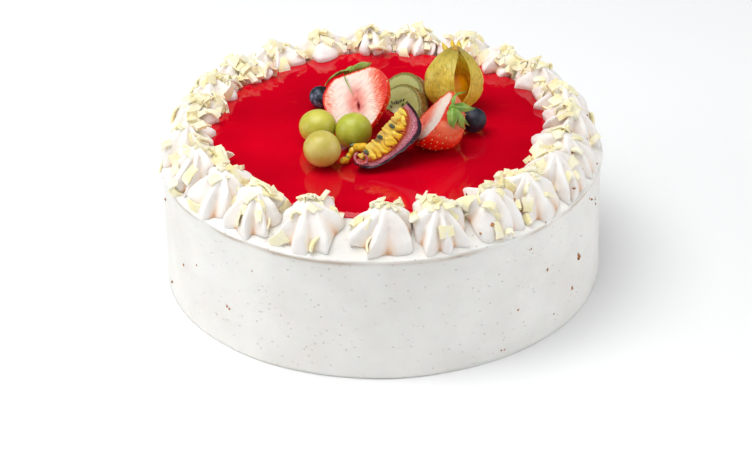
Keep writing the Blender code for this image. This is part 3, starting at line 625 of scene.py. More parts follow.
shavings = []
for star in stars:
    fixed = np.array(star.matrix())
    more = np.random.default_rng(900 + star.index)
    placed = 0
    while placed < SHAVINGS_PER_STAR:
        share, height_share = SHAVING_SEATS[star.draw.randrange(1, 4) - 1]
        angle = star.draw.uniform(0, 2 * math.pi)
        length = star.draw.uniform(7 * MM, 12.5 * MM)
        width = star.draw.uniform(3.8 * MM, 6.2 * MM)
        bend = star.draw.uniform(0.5, 2.4)
        spin = star.draw.uniform(0, 2 * math.pi)
        tip = star.draw.uniform(-0.6, 0.6)
        base = Vector(star.point(np.array(angle), share * 0.8, height_share))
        if base.y > 3 * MM and height_share < 0.6:
            continue
        outward = Vector((base.x, base.y, star.height * 0.45)).normalized()
        pose = shaving_pose(base + outward * 0.6 * MM, outward, spin, tip)
        signs = [(a, b, c) for a in (-1, 1) for b in (-1, 1) for c in (-1, 1)]
        corners = [pose @ Vector((a * length / 2, b * width / 2, c * 2 * MM)) for a, b, c in signs]
        between = all(abs(c.x) < star.side_limit(c.y, c.z, c.x) - GAP for c in corners)
        if between and all(c.z > 2.5 * MM for c in corners):
            placed += 1
            shavings.append(shaving(fixed @ np.array(pose), length, width, bend, SHAVING_THICKNESS, more))
    # Finer scrapes than the solids hold lie on the fine star: tubes, shards and blocks, few of them outside
    left = int(more.integers(12, 17)) * (2 if 215 < math.degrees(star.angle) < 275 else 1)
    while left:
        row, column = int(more.integers(7, STAR_ROWS - 2)), int(more.integers(0, STAR_COLUMNS))
        base = star.grid[row, column]
        if math.hypot(base[0], base[1]) > STAR_RING and more.uniform() < 0.8:
            continue
        left -= 1
        around = star.grid[row, (column + 2) % STAR_COLUMNS] - star.grid[row, column - 2]
        outward = np.cross(around, star.grid[row + 1, column] - star.grid[row - 1, column])
        outward = outward / np.linalg.norm(outward) + (0, 0, 0.3)
        kind = more.uniform()
        if kind < 0.12:
            bend, width, thickness = more.uniform(3.2, 5), more.uniform(3, 7) * MM, 0.7 * MM
            length = more.uniform(7, 13) * MM
        elif kind < 0.75:
            bend, width, thickness = more.uniform(0.2, 1.8), more.uniform(3, 6.5) * MM, 1.0 * MM
            length = more.uniform(5.5, 12) * MM
        else:
            bend, width, thickness = 0.2, more.uniform(2.4, 4.4) * MM, 2.4 * MM
            length = more.uniform(2.6, 6.5) * MM
        base = Vector(base + outward * (more.uniform(0.4, 2) * MM))
        pose = shaving_pose(base, outward, more.uniform(0, 6.3), more.uniform(-0.9, 0.9))
        shavings.append(shaving(np.array(pose), length, width, bend, thickness, more))

# White chocolate: cocoa butter and milk, pale yellow, dull where it was scraped and waxy where it curled.
chocolate = finish(
    "white_chocolate",
    {"Roughness": 0.42, "IOR": 1.46, "Subsurface Weight": 0.3, "Subsurface Scale": 0.002}
    | {"Subsurface Radius": (1.0, 0.9, 0.75), "Base Color": "pale", "Normal": "scraped"},
    batch=("TexNoise", {"Scale": 130, "Detail": 2}),
    scrape=("TexNoise", {"Scale": 700, "Detail": 3}),
    pale=("ValToRGB", {"stops": {0.3: "#FBECB2", 0.5: "#FDF3CC", 0.7: "#FEFAE6"}, "Fac": "batch"}),
    scraped=("Bump", {"Strength": 0.3, "Distance": 0.0004, "Height": "scrape"}),
)
piece("chocolate_shavings", list(map(inside_box, shavings)), chocolate, smooth=False)

# Grapes: three seedless white ones, a thin waxy skin over clear flesh that lets light through, so the side
# away from the light glows. Each is a little longer than wide, with a small brown scar from its stalk.


def frame_to(axis, facing):
    """Three rows that send local +Z along axis and local +Y as near to facing as they can."""
    z = np.array(axis, float) / np.linalg.norm(axis)
    y = np.array(facing, float) - np.dot(facing, z) * z
    y /= np.linalg.norm(y)
    return np.stack([np.cross(y, z), y, z])


def on_jelly(place):
    """A place given in mm from the middle of the jelly's surface."""
    return np.array(place, float) * MM + (0, 0, CAKE_HEIGHT + GAP)


GRAPES = (  # name, middle and radius in mm, share of the height, way of the stalk end, two colours
    ("grape_left", (-33.4, -15.2, 9.5), 10.3, 0.92, (-0.6, 0.7, 0.3), "#B9B430", "#D2CC5C"),
    ("grape_front", (-31.1, -40.8, 9.9), 10.0, 0.98, (-0.9, 0.1, 0.1), "#C0B048", "#D6C974"),
    ("grape_right", (-14.2, -21.6, 10.0), 10.0, 1.0, (0.3, 0.9, -0.2), "#A6AC24", "#C4C850"),
)
for number, (name, middle, size, height_share, stalk_way, thick, thin) in enumerate(GRAPES):
    unit = ball(64, 96)
    from_stalk = np.arccos(np.clip(unit[..., 2], -1, 1))
    radius = size * MM * (1 + 0.012 * ripple(unit, 1.6, 30 + number)) * 0.985
    radius = radius - 0.5 * MM * bell(from_stalk, 0.16) + 0.2 * MM * bell(from_stalk - 0.2, 0.07)
    points = unit * radius[..., None] @ frame_to(stalk_way, (0, 0, 1)) * (1, 1, height_share)
    points = points + on_jelly(middle)
    # Grape skin: waxy, thin and clear; its colour is the flesh's, with pale specks 1.5 mm apart.
    skin = finish(
        name + "_skin",
        {"Roughness": 0.3, "IOR": 1.42, "Subsurface Weight": 0.45, "Subsurface Scale": 0.006}
        | {"Subsurface Radius": (1.0, 0.85, 0.2), "Coat Weight": 0.15, "Coat Roughness": 0.35}
        | {"Base Color": "scarred", "Normal": "waxy"},
        cloud=("TexNoise", {"Scale": 110, "Detail": 3}),
        specks=("TexVoronoi", {"Scale": 620}),
        scar=("Attribute", {"attribute_name": "scar"}),
        flesh=("ValToRGB", {"stops": {0.3: thick, 0.7: thin}, "Fac": "cloud"}),
        speck=("ValToRGB", {"stops": {0.08: 0.35, 0.2: 0.0}, "Fac": "specks"}),
        dotted=("Mix", {0: "speck", 6: "flesh", 7: "#E4DA96"}),
        scarred=("Mix", {0: "scar", 6: "dotted", 7: "#5E4322"}),
        waxy=("Bump", {"Strength": 0.08, "Distance": 0.0005, "Height": "cloud"}),
    )
    piece(name + "_whole", [closed(points)], skin, [name], {"scar": bell(from_stalk, 0.13)})

# Blueberries: three of them. The flower's five sepals left a ragged crown round a cup at one end, and a
# wax bloom, grey-blue and partly rubbed off, covers the navy skin.
BLUEBERRIES = (  # name, middle and radius in mm, the way of the crown, and how much bloom is left
    ("blueberry_left", (-32.4, 25.2, 6.3), 6.3, (0.45, -0.25, 0.85), 0.9),
    ("blueberry_back", (-17.6, 38.0, 6.2), 6.2, (0.1, -0.35, 0.9), 0.8),
    ("blueberry_right", (50.0, -7.4, 7.4), 7.4, (-0.35, 0.3, 0.9), 0.1),
)
CROWN_ANGLE = 0.46
# Blueberry skin: dull where the bloom lies and a little glossy where it was rubbed off.
blueberry_skin = finish(
    "blueberry_bloom",
    {"IOR": 1.45, "Base Color": "dark_crown", "Roughness": "dull", "Normal": "grainy"},
    crown=("Attribute", {"attribute_name": "crown"}),
    left_on=("Attribute", {"attribute_name": "bloom"}),
    rubbed=("TexNoise", {"Scale": 260, "Detail": 5}),
    powder=("TexNoise", {"Scale": 1500, "Detail": 2}),
    bloom=("ValToRGB", {"stops": {0.34: "#161B28", 0.5: "#2C364A", 0.62: "#7C89A0"}, "Fac": "rubbed"}),
    bloomed=("Mix", {0: "left_on", 6: "#151A25", 7: "bloom"}),
    dark_crown=("Mix", {0: "crown", 6: "bloomed", 7: "#1B1518"}),
    dull=("ValToRGB", {"stops": {0.35: 0.32, 0.65: 0.62}, "Fac": "rubbed"}),
    grainy=("Bump", {"Strength": 0.2, "Distance": 0.0002, "Height": "powder"}),
)
for number, (name, middle, size, crown_way, bloom_left) in enumerate(BLUEBERRIES):
    unit = ball(72, 100)
    polar = np.arccos(np.clip(unit[..., 2], -1, 1))
    turn = np.arctan2(unit[..., 1], unit[..., 0])
    ragged = 0.55 + 0.45 * np.abs(np.cos(2.5 * turn + number)) ** 0.6
    ragged = ragged + 0.15 * ripple(unit, 0.5, 60 + number)
    rim = bell(polar - CROWN_ANGLE, 0.085) * ragged
    cup = np.clip((CROWN_ANGLE - polar) / 0.12, 0, 1)
    uneven = 0.985 + 0.012 * ripple(unit, 1.4, 64 + number)
    radius = size * MM * (uneven + 0.07 * rim - 0.2 * cup * (3 - 2 * cup) * cup)
    points = unit * (1, 1, 0.93) * radius[..., None] @ frame_to(crown_way, (0, 1, 0)) + on_jelly(middle)
    shade = {"crown": np.clip(cup + rim * 1.1 - 0.15, 0, 1), "bloom": bloom_left + 0 * polar}
    piece(name + "_whole", [closed(points)], blueberry_skin, [name], shade)

# Halved strawberries: two, each cut from stalk to tip. The cut face has a rosy heart with a small hollow,
# white flesh round it and red rays out to the skin; the skin has pale achenes sunk in pits.
STRAWBERRIES = (  # the heart and the hollow are ellipses on the cut face: middle and half widths
    {
        "name": "left",
        "calyx": (-14.8, 14.0, 25.5),
        "tip_way": (0.13, -0.77, -0.63),
        "face": (-0.45, -0.54, 0.71),
        "length": 37 * MM,
        "width": 39.5 * MM,
        "depth": 17 * MM,
        "heart": (0.0 * MM, 17.0 * MM, 6.2 * MM, 9.5 * MM),
        "hollow": (0.6 * MM, 19.5 * MM, 0.8 * MM, 2.6 * MM),
        "rays_from": 0.92,
    },
    {
        "name": "right",
        "calyx": (35.2, -26.8, 23.4),
        "tip_way": (-0.60, 0.45, -0.66),
        "face": (-0.69, 0.06, 0.72),
        "length": 33 * MM,
        "width": 37 * MM,
        "depth": 19 * MM,
        "heart": (0.0, 21.0 * MM, 7.0 * MM, 9.0 * MM),
        "hollow": (1.0 * MM, 19.0 * MM, 0.4 * MM, 1.2 * MM),
        "rays_from": 0.86,
    },
)
BERRY_COLUMNS = 176
FACE_ROWS = 56
ACHENE_SPACING = 3.7 * MM


def berry_radius(share):
    """Half the width as a share of the largest, from the calyx end (0) to the tip (1)."""
    share = np.clip(share, 0, 1)
    calyx_end = np.sqrt(np.maximum(0, 1 - ((0.3 - np.minimum(share, 0.3)) / 0.36) ** 2))
    tip_end = np.cos((np.maximum(share, 0.3) - 0.3) / 0.7 * math.pi / 2) ** 0.72
    return np.where(share < 0.3, calyx_end, tip_end)


def berry_outline(width, length, columns):
    """The cut face's edge, evenly spaced: out from the calyx, down one side to the tip and up the other."""
    share = 0.5 - 0.5 * np.cos(np.linspace(0, math.pi, 400))
    half = np.stack([berry_radius(share) * width / 2, share * length], -1)
    half = np.concatenate([[(0, 0)], half, [(0, length)]])
    loop = np.concatenate([half, half[::-1] * (-1, 1)])
    walked = np.append(0, np.cumsum(np.linalg.norm(np.diff(loop, axis=0), axis=1)))
    even = np.linspace(0, walked[-1], columns, endpoint=False)
    line = np.stack([np.interp(even, walked, loop[:, i]) for i in (0, 1)], -1)
    for _ in range(6):
        line = (np.roll(line, 1, 0) + 2 * line + np.roll(line, -1, 0)) / 4
    return line


# Strawberry skin and flesh: the skin is bright red, wet and glossy between its pits; the cut flesh is
# juicy, so it has a soft gloss and lets light in.
FLESH_STOPS = {0.5: "#F0DDD0", 0.7: "#EC9C84", 0.84: "#E4583A", 1.0: "#D61E14"}
strawberry = finish(
    "strawberry_skin_and_flesh",
    {"Roughness": 0.28, "IOR": 1.38, "Subsurface Weight": 0.15, "Subsurface Scale": 0.003}
    | {"Base Color": "whole", "Normal": "juicy"},
    skin_share=("Attribute", {"attribute_name": "skin"}),
    heart_share=("Attribute", {"attribute_name": "heart"}),
    rim_share=("Attribute", {"attribute_name": "rim"}),
    hollow_share=("Attribute", {"attribute_name": "hollow"}),
    pale_share=("Attribute", {"attribute_name": "pale"}),
    round_face=("UVMap", {"uv_map": "UVMap"}),
    ray_map=("Mapping", {"Scale": (1, 0.12, 1), "Vector": "round_face"}),
    rays=("TexNoise", {"Scale": 46, "Detail": 3, "Vector": "ray_map"}),
    mottle=("TexNoise", {"Scale": 210, "Detail": 4}),
    frayed=("Math", {"operation": "MULTIPLY_ADD", 0: "rays", 1: 0.75, 2: "rim_share"}),
    flesh=("ValToRGB", {"stops": FLESH_STOPS, "Fac": "frayed"}),
    rosy=("ValToRGB", {"stops": {0.25: "#D42E2C", 0.6: "#EA7868"}, "Fac": "mottle"}),
    hearted=("Mix", {0: "heart_share", 6: "flesh", 7: "rosy"}),
    # Painted shade: the hollow in the heart is painted dark red
    hollowed=("Mix", {0: "hollow_share", 6: "hearted", 7: "#8E0F18"}),
    red_skin=("ValToRGB", {"stops": {0.3: "#DC1404", 0.55: "#F2260C", 0.8: "#FA4820"}, "Fac": "mottle"}),
    paler_skin=("Mix", {0: "pale_share", 6: "red_skin", 7: "#F08A5E"}),
    whole=("Mix", {0: "skin_share", 6: "hollowed", 7: "paler_skin"}),
    juicy=("Bump", {"Strength": 0.25, "Distance": 0.0004, "Height": "rays"}),
)
# Achenes: dry seeds, yellow with a green cast, one in each pit.
achene_skin = finish(
    "strawberry_achene",
    {"Roughness": 0.35, "Base Color": "straw"},
    ripe=("TexNoise", {"Scale": 150}),
    straw=("ValToRGB", {"stops": {0.35: "#E8C070", 0.65: "#F6E2A0"}, "Fac": "ripe"}),
)

for number, berry in enumerate(STRAWBERRIES):
    width, length, depth = berry["width"], berry["length"], berry["depth"]
    line = berry_outline(width, length, BERRY_COLUMNS)
    half_line = line[: BERRY_COLUMNS // 2]
    centre = np.array([0, 0.5 * length])
    # Rows run over the cut face from its middle to the edge, then over the round back to its middle
    face_share = np.linspace(0, 1, FACE_ROWS)[:, None, None]
    skin_turn = np.linspace(0, math.pi / 2, 54)[1:, None, None]
    flat = centre + np.concatenate([face_share, np.cos(skin_turn)]) * (line - centre)
    half_width = np.interp(flat[..., 1], half_line[:, 1], half_line[:, 0])
    back_depth = depth / (width / 2) * np.sqrt(np.maximum(0, half_width**2 - flat[..., 0] ** 2))
    is_skin = (np.arange(len(flat)) >= FACE_ROWS)[:, None] * np.ones(BERRY_COLUMNS)
    local = np.stack([flat[..., 0], -back_depth * is_skin, flat[..., 1]], -1)
    # Achenes in staggered rows over the skin, and the pits round them
    seat = []
    for row, share in enumerate(np.arange(0.1, 0.97, 0.105)):
        reach = float(np.interp(share * length, half_line[:, 1], half_line[:, 0]))
        count = max(2, int(math.pi * reach / ACHENE_SPACING))
        turns = (np.arange(count) + 0.5 * (row % 2) + 0.25) / count * math.pi
        y = -depth / (width / 2) * reach * np.sin(turns)
        seat.append(np.stack([reach * np.cos(turns), y, share * length + 0 * turns], -1))
    seat = np.concatenate(seat)
    seat = seat + np.random.default_rng(70 + number).normal(0, 0.35 * MM, seat.shape)
    away = np.linalg.norm(local[:, :, None] - seat, axis=-1).min(-1)
    middle = np.array([0, -depth * 0.3, 0.45 * length])
    inward = middle - local
    inward /= np.linalg.norm(inward, axis=-1, keepdims=True)
    pit = bell(away, 1.15 * MM) * is_skin
    swell = ripple(local, 14 * MM, 74 + number) * 0.35 * MM + ripple(local, 5 * MM, 76 + number) * 0.1 * MM
    x, z = local[..., 0], local[..., 2]
    in_hollow, in_heart = (
        ((x - middle_x) / half_x) ** 2 + ((z - middle_z) / half_z) ** 2
        for middle_x, middle_z, half_x, half_z in (berry["hollow"], berry["heart"])
    )
    hollow, heart = np.exp(-in_hollow), np.exp(-(in_heart**1.6))
    local = local + inward * (0.55 * MM * pit - swell * is_skin)[..., None]
    local[..., 1] -= (1 - is_skin) * (1.6 * MM * hollow - 0.12 * MM * ripple(local, 3 * MM, 78 + number))
    share = np.minimum(1, np.arange(len(flat)) / (FACE_ROWS - 1))[:, None] + 0 * x
    ringed = np.clip((share - berry["rays_from"]) / (1 - berry["rays_from"]), 0, 1) ** 1.2
    # The left one is redder at both sides of its face, the right one towards its tip
    if berry["name"] == "left":
        to_right = np.clip((2 * x / width - 0.28) / 0.62, 0, 1)
        blush = np.clip(-2 * x / width - 0.5, 0, 0.3)
    else:
        to_right = 0
        blush = np.clip((z / length - 0.2) * 2.4, 0, 1) * 0.46
    turns = frame_to(berry["tip_way"], berry["face"])
    pose = on_jelly(berry["calyx"])
    world = local @ turns + pose
    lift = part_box("strawberry_" + berry["name"])[0].z - world[..., 2].min() + 0.1 * MM
    world[..., 2] += lift
    angle_uv = np.arange(BERRY_COLUMNS) / BERRY_COLUMNS * 3.0
    mirrored = np.minimum(angle_uv, 3.0 - angle_uv)
    piece(
        f"strawberry_{berry['name']}_half",
        [closed(world)],
        strawberry,
        [f"strawberry_{berry['name']}"],
        {
            "skin": is_skin,
            "heart": heart * 0.85 * (1 - is_skin),
            "rim": np.maximum(ringed, to_right) * 0.62 + blush,
            "hollow": np.clip(hollow * 1.3, 0, 1) * (1 - is_skin),
            "pale": np.clip(1 - z / (0.24 * length), 0, 1) * 0.75 * is_skin,
        },
        uv=np.stack([mirrored + 0 * share, share + is_skin * 2], -1),
    )
    berry["turns"], berry["pose"] = turns, pose + (0, 0, lift)
    seeds = []
    for place in seat:
        out = place - middle
        out = out / np.linalg.norm(out)
        grain = ball(5, 6) * (0.3 * MM, 0.58 * MM, 0.32 * MM) @ frame_to(out, (0, 0, 1))
        seeds.append(closed((grain + place - out * 0.35 * MM) @ turns + berry["pose"]))
    piece(f"strawberry_{berry['name']}_achenes", seeds, achene_skin)

# Strawberry leaves: each half kept its calyx, narrow pointed leaves, thin and wavy, joined at a small hub
# where the stalk was pulled off. They have a pale midrib and a lighter underside.
CALYX_LEAVES = {  # in mm: the hub, then each leaf's path and its largest half width
    "left": (
        (-15.1, 16.6, 27.0),
        (
            (((-15.1, 16.6, 27.0), (-10.4, 18.6, 27.2), (-6.5, 20.5, 27.2), (-3.9, 23.5, 27.2)), 2.2),
            (((-15.1, 16.6, 27.0), (-21.3, 18.0, 24.6), (-26.3, 18.5, 21.0), (-29.9, 17.4, 16.6)), 2.0),
            (((-15.1, 16.8, 27.0), (-16.5, 22.0, 25.0), (-17.5, 25.5, 20.5), (-17.8, 28.0, 16.5)), 2.6),
            (((-15.1, 16.8, 27.0), (-10.5, 22.4, 24.6), (-7.0, 25.0, 20.0), (-5.5, 27.5, 16.0)), 2.4),
        ),
    ),
    "right": (
        (38.2, -28.0, 24.6),
        (
            (((38.2, -28.0, 24.6), (38.0, -33.2, 24.0), (37.8, -35.5, 19.6), (38.6, -35.5, 15.0)), 2.8),
            (((38.2, -28.0, 24.6), (38.9, -24.6, 28.4), (41.6, -21.6, 29.4), (46.3, -18.0, 28.2)), 1.7),
            (((38.2, -28.0, 24.6), (43.2, -26.2, 23.6), (47.0, -23.0, 21.4), (51.0, -18.8, 18.4)), 2.4),
            (((38.2, -28.0, 24.6), (42.0, -31.6, 21.2), (44.6, -29.4, 16.2), (47.4, -25.9, 12.0)), 1.5),
            (((38.2, -28.0, 24.6), (40.9, -32.9, 20.8), (43.0, -33.2, 16.5), (44.6, -30.8, 12.2)), 2.2),
        ),
    ),
}
THREAD = ((-4.8, 0.5, 0.5), (-3.4, 0.6, 6), (-1.0, 0.4, 13.8))
LEAF_THICKNESS = 0.7 * MM


def blade(path, half_width, thickness, seed, curl=0.25):
    """A thin leaf along a curve through the path. Its half width is a sine that rises early and ends in a
    point. Its rim lifts with the square of the distance from the midrib and waves along its length."""
    path = np.asarray(path, float)
    share = np.linspace(0, 1, 30)
    spine = smooth_curve(path, np.linspace(0, 1, len(path)), share)
    along = np.gradient(spine, axis=0)
    along /= np.linalg.norm(along, axis=1, keepdims=True)
    bend = (path[0] + path[-1]) / 2 - path.mean(0)
    bend = bend / np.linalg.norm(bend) if np.linalg.norm(bend) > 1e-5 else np.array([0, 0, 1.0])
    side = np.cross(along, bend)
    side /= np.linalg.norm(side, axis=1, keepdims=True)
    up = np.cross(side, along)
    half = half_width * (0.12 + 0.95 * np.sin(math.pi * share**0.75) ** 0.8) * (1 - share**6)
    turn = np.linspace(0, 2 * math.pi, 16, endpoint=False)
    across, over = np.cos(turn), np.sin(turn)
    wave = np.random.default_rng(seed).uniform(0, 6, 2)
    lift = half[:, None] * (curl * across**2 - 0.12 * bell(across, 0.15))
    waving = np.sin(share[:, None] * 11 + wave[0] + np.sign(across) * wave[1])
    lift = lift + half_width * 0.16 * waving * across**2
    thick = thickness * (0.5 + 0.5 * (1 - share[:, None] ** 3)) * (1 - 0.55 * across**2)
    sideways, upwards = half[:, None] * across, lift + over * thick / 2
    points = spine[:, None] + side[:, None] * sideways[..., None] + up[:, None] * upwards[..., None]
    points[0], points[-1] = points[0].mean(0), points[-1].mean(0)
    return closed(points), (np.abs(across) + 0 * share[:, None]).ravel()


# Strawberry leaf: fresh green, matt with fine hairs, and it lets a little light through.
leaf_green = finish(
    "strawberry_leaf_green",
    {"Roughness": 0.5, "Subsurface Weight": 0.1, "Subsurface Scale": 0.001}
    | {"Base Color": "ribbed", "Normal": "hairy"},
    across=("Attribute", {"attribute_name": "across"}),
    fresh=("TexNoise", {"Scale": 120, "Detail": 3}),
    hairs=("TexNoise", {"Scale": 1200, "Detail": 2}),
    green=("ValToRGB", {"stops": {0.3: "#4E7322", 0.5: "#79A032", 0.7: "#A3BC58"}, "Fac": "fresh"}),
    rib=("ValToRGB", {"stops": {0.0: 0.55, 0.14: 0.0, 0.86: 0.0, 1.0: 0.5}, "Fac": "across"}),
    ribbed=("Mix", {0: "rib", 6: "green", 7: "#C9D69A"}),
    hairy=("Bump", {"Strength": 0.3, "Distance": 0.0003, "Height": "hairs"}),
)
for number, berry in enumerate(STRAWBERRIES):
    name = "calyx_" + berry["name"]
    hub, leaves = CALYX_LEAVES[berry["name"]]
    hub_ball = ball(12, 16) * 1.8 * MM * (1 + 0.15 * ripple(ball(12, 16), 0.9, 90 + number))[..., None]
    made = [(closed(hub_ball + on_jelly(hub)), 0.3 + 0 * hub_ball[..., 0].ravel())]
    for count, (path, half_width) in enumerate(leaves):
        path = [on_jelly(place) for place in path]
        made.append(blade(path, half_width * MM, LEAF_THICKNESS, 100 + 10 * number + count))
    if berry["name"] == "left":
        # One thread of a leaf was pressed into the cut face
        path = [np.array(place) * MM @ berry["turns"] + berry["pose"] for place in THREAD]
        made.append(blade(path, 0.45 * MM, 0.5 * MM, 131))
    # The leaves hang as low as their solid
    settled = np.array([0, 0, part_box(name)[0].z - min(points[:, 2].min() for (points, _), _ in made)])
    shapes = [(points + settled, faces) for (points, faces), _ in made]
    shade = {"across": np.concatenate([rib_share for _, rib_share in made])}
    piece(name + "_leaves", shapes, leaf_green, [name], shade)

# Kiwi slices: two half slices of kiwi fruit stand on their cut edge and lean on each other. The flesh is
# pale olive with fine rays round a cream core, black seeds lie round the core, the skin is brown and downy.
KIWI_SLICES = (("front", (8.7, 14.6, 0)), ("back", (10.0, 28.4, 0)))
KIWI_RADIUS = 18 * MM
KIWI_THICKNESS = 6.3 * MM
KIWI_FACING = (-0.65, -0.45, 0.61)
KIWI_RIM = 1.1 * MM
kiwi_turns = frame_to(KIWI_FACING, (0, 0, 1))
kiwi_slope = kiwi_turns[2, 2], kiwi_turns[1, 2]

# Kiwi flesh and skin: wet flesh that lets light in; the skin's down is drawn as a fine rough grain.
KIWI_STOPS = {0.24: "#DDDAB2", 0.33: "#B9B878", 0.46: "#8E9348", 0.62: "#A3A65C", 0.95: "#B2B370"}
KIWI_STOPS |= {1.0: "#7C7A38"}
kiwi_flesh = finish(
    "kiwi_flesh_and_skin",
    {"Roughness": 0.3, "IOR": 1.38, "Subsurface Weight": 0.2, "Subsurface Scale": 0.003}
    | {"Base Color": "kiwi", "Normal": "downy"},
    out_share=("Attribute", {"attribute_name": "out"}),
    skin_share=("Attribute", {"attribute_name": "skin"}),
    disc=("UVMap", {"uv_map": "UVMap"}),
    ray_map=("Mapping", {"Scale": (1, 0.2, 1), "Vector": "disc"}),
    rays=("TexNoise", {"Scale": 17, "Detail": 4, "Vector": "ray_map"}),
    down=("TexNoise", {"Scale": 900, "Detail": 3}),
    frayed=("Math", {"operation": "MULTIPLY_ADD", 0: "rays", 1: 0.16, 2: "out_share"}),
    flesh=("ValToRGB", {"stops": KIWI_STOPS, "Fac": "frayed"}),
    brown=("ValToRGB", {"stops": {0.35: "#6B4A1E", 0.65: "#A9853F"}, "Fac": "down"}),
    kiwi=("Mix", {0: "skin_share", 6: "flesh", 7: "brown"}),
    downy=("Bump", {"Strength": 0.3, "Distance": 0.0004, "Height": "down"}),
)
# Seed coats: hard, black-brown and a little glossy.
seed_skin = finish(
    "fruit_seed",
    {"Roughness": 0.25, "Base Color": "black"},
    tone=("TexNoise", {"Scale": 300}),
    black=("ValToRGB", {"stops": {0.35: "#15100E", 0.7: "#3A2E28"}, "Fac": "tone"}),
)


def kiwi_slice(middle, seed):
    """Rows run from a point inside the half disc out over the front, round the rim and back in behind. Each
    row reaches to the circle or to the jelly, whichever is nearer; the rim is a half circle in section."""
    bend = np.linspace(0, math.pi / 2, 6)
    step = np.linspace(0, 1, 34)[:-1]
    flat = KIWI_RADIUS - KIWI_RIM
    drawn_in = KIWI_RIM * (1 - np.cos(bend))
    swung = KIWI_RIM * np.sin(bend)
    behind = (drawn_in[::-1] - KIWI_THICKNESS, 0 * step - KIWI_THICKNESS)
    depth = np.concatenate([0 * step, -drawn_in, *behind])[:, None]
    radius = np.concatenate([flat + 0 * step, flat + swung, flat + swung[::-1], flat + 0 * step])[:, None]
    share = np.concatenate([step, 1 + 0 * bend, 1 + 0 * bend, step[::-1]])[:, None]
    angle = np.linspace(0, 2 * math.pi, 180, endpoint=False)
    start = 0.5 * KIWI_RADIUS
    ahead = start * np.sin(angle)
    to_rim = -ahead + np.sqrt(ahead**2 - start**2 + radius**2)
    downwards = np.maximum(1e-6, -np.sin(angle))
    to_jelly = np.where(downwards > 1e-6, (start + depth * kiwi_slope[0] / kiwi_slope[1]) / downwards, 1.0)
    reach = np.maximum(0, np.minimum(to_rim, to_jelly)) * share
    x, y = reach * np.cos(angle), start + reach * np.sin(angle)
    points = np.stack([x, y, depth + 0 * x], -1)
    points[..., 2] += 0.12 * MM * ripple(points, 4 * MM, seed) * np.sign(depth + KIWI_THICKNESS / 2)
    out = np.hypot(x, y) / KIWI_RADIUS
    shade = {"out": out, "skin": np.clip((out - 0.955) / 0.03, 0, 1)}
    return closed(points @ kiwi_turns + on_jelly(middle)), shade, np.stack([np.arctan2(x, y), out], -1)


kiwi_seeds = []
for number, (name, middle) in enumerate(KIWI_SLICES):
    shape, shade, uv = kiwi_slice(middle, 140 + number)
    piece(f"kiwi_{name}_half_slice", [shape], kiwi_flesh, [f"kiwi_slice_{name}"], shade, uv)
    draw = np.random.default_rng(150 + number)
    for side in (0, -KIWI_THICKNESS):
        for turn in np.arange(-1.7, 1.75, 0.165) + draw.uniform(-0.04, 0.04, 21):
            radius = draw.uniform(0.36, 0.52) * KIWI_RADIUS
            if radius * math.cos(turn) < 2.4 * MM - side * kiwi_slope[0] / kiwi_slope[1]:
                continue
            seed = ball(6, 8) * (0.55 * MM, 1.15 * MM, 0.3 * MM)
            c, s = math.cos(turn), math.sin(turn)
            seed = seed @ np.array([[c, -s, 0], [s, c, 0], [0, 0, 1]]) + (radius * s, radius * c, side)
            kiwi_seeds.append(closed(seed @ kiwi_turns + on_jelly(middle)))
piece("kiwi_seeds", kiwi_seeds, seed_skin)

# Passion fruit rind: a wedge of purple passion fruit lies on its back. Its wall is a thin wrinkled purple
# skin and a thick pith, pink and white with darker dashes, whose cut edge frames the pulp.
PASSION_MIDDLE = (0.1, -40.8, 19.0)
PASSION_AXIS = (0.678, 0.419, 0.605)
PASSION_RIM_WAY = (0.737, -0.345, -0.59)
PASSION_HALF_LENGTH = 21.8 * MM
PASSION_RADIUS = 15.5 * MM
PASSION_DEPTH = 1.3
PASSION_SKEW = 0.31
PASSION_FILL = 0.35
PULP_HALF_LENGTH = 17.6 * MM
PULP_RADIUS = 10.6 * MM
PASSION_ANGLE = math.radians(75)
PASSION_ROWS = 150
PASSION_ENDS = math.radians(1)
# Steps round the wall's section: the skin, the lower cut edge, the inside, then the upper cut edge
SKIN, LOWER, INSIDE, UPPER = 44, 14, 26, 24

along = -np.array(PASSION_AXIS) / np.linalg.norm(PASSION_AXIS)
rim_way = np.array(PASSION_RIM_WAY) - np.dot(PASSION_RIM_WAY, along) * along
rim_way /= np.linalg.norm(rim_way)
passion_turns = np.stack([rim_way, np.cross(along, rim_way), along])
polar = np.linspace(PASSION_ENDS, math.pi - PASSION_ENDS, PASSION_ROWS)[:, None]
lowness = np.cos(polar)
rind_radius = PASSION_RADIUS * np.sin(polar) * (1 - PASSION_SKEW * lowness + PASSION_FILL * lowness**2)
pulp_radius = (PULP_RADIUS - GAP) * np.sin(polar)
passion_drop = 0.0  # until the rind's lowest point is known


def in_wedge(points):
    """From the fruit's own frame (X to the cut rim, Y out of the cut face, Z along it) to its place."""
    return points @ passion_turns + on_jelly(PASSION_MIDDLE) + (0, 0, passion_drop)


def wedge(radius, turn, half_length):
    """Points of the fruit's own frame: a slice of an ellipse turned from the cut rim down to the back."""
    out = -PASSION_DEPTH * radius * np.sin(turn)
    return np.stack([radius * np.cos(turn), out, half_length * lowness], -1)


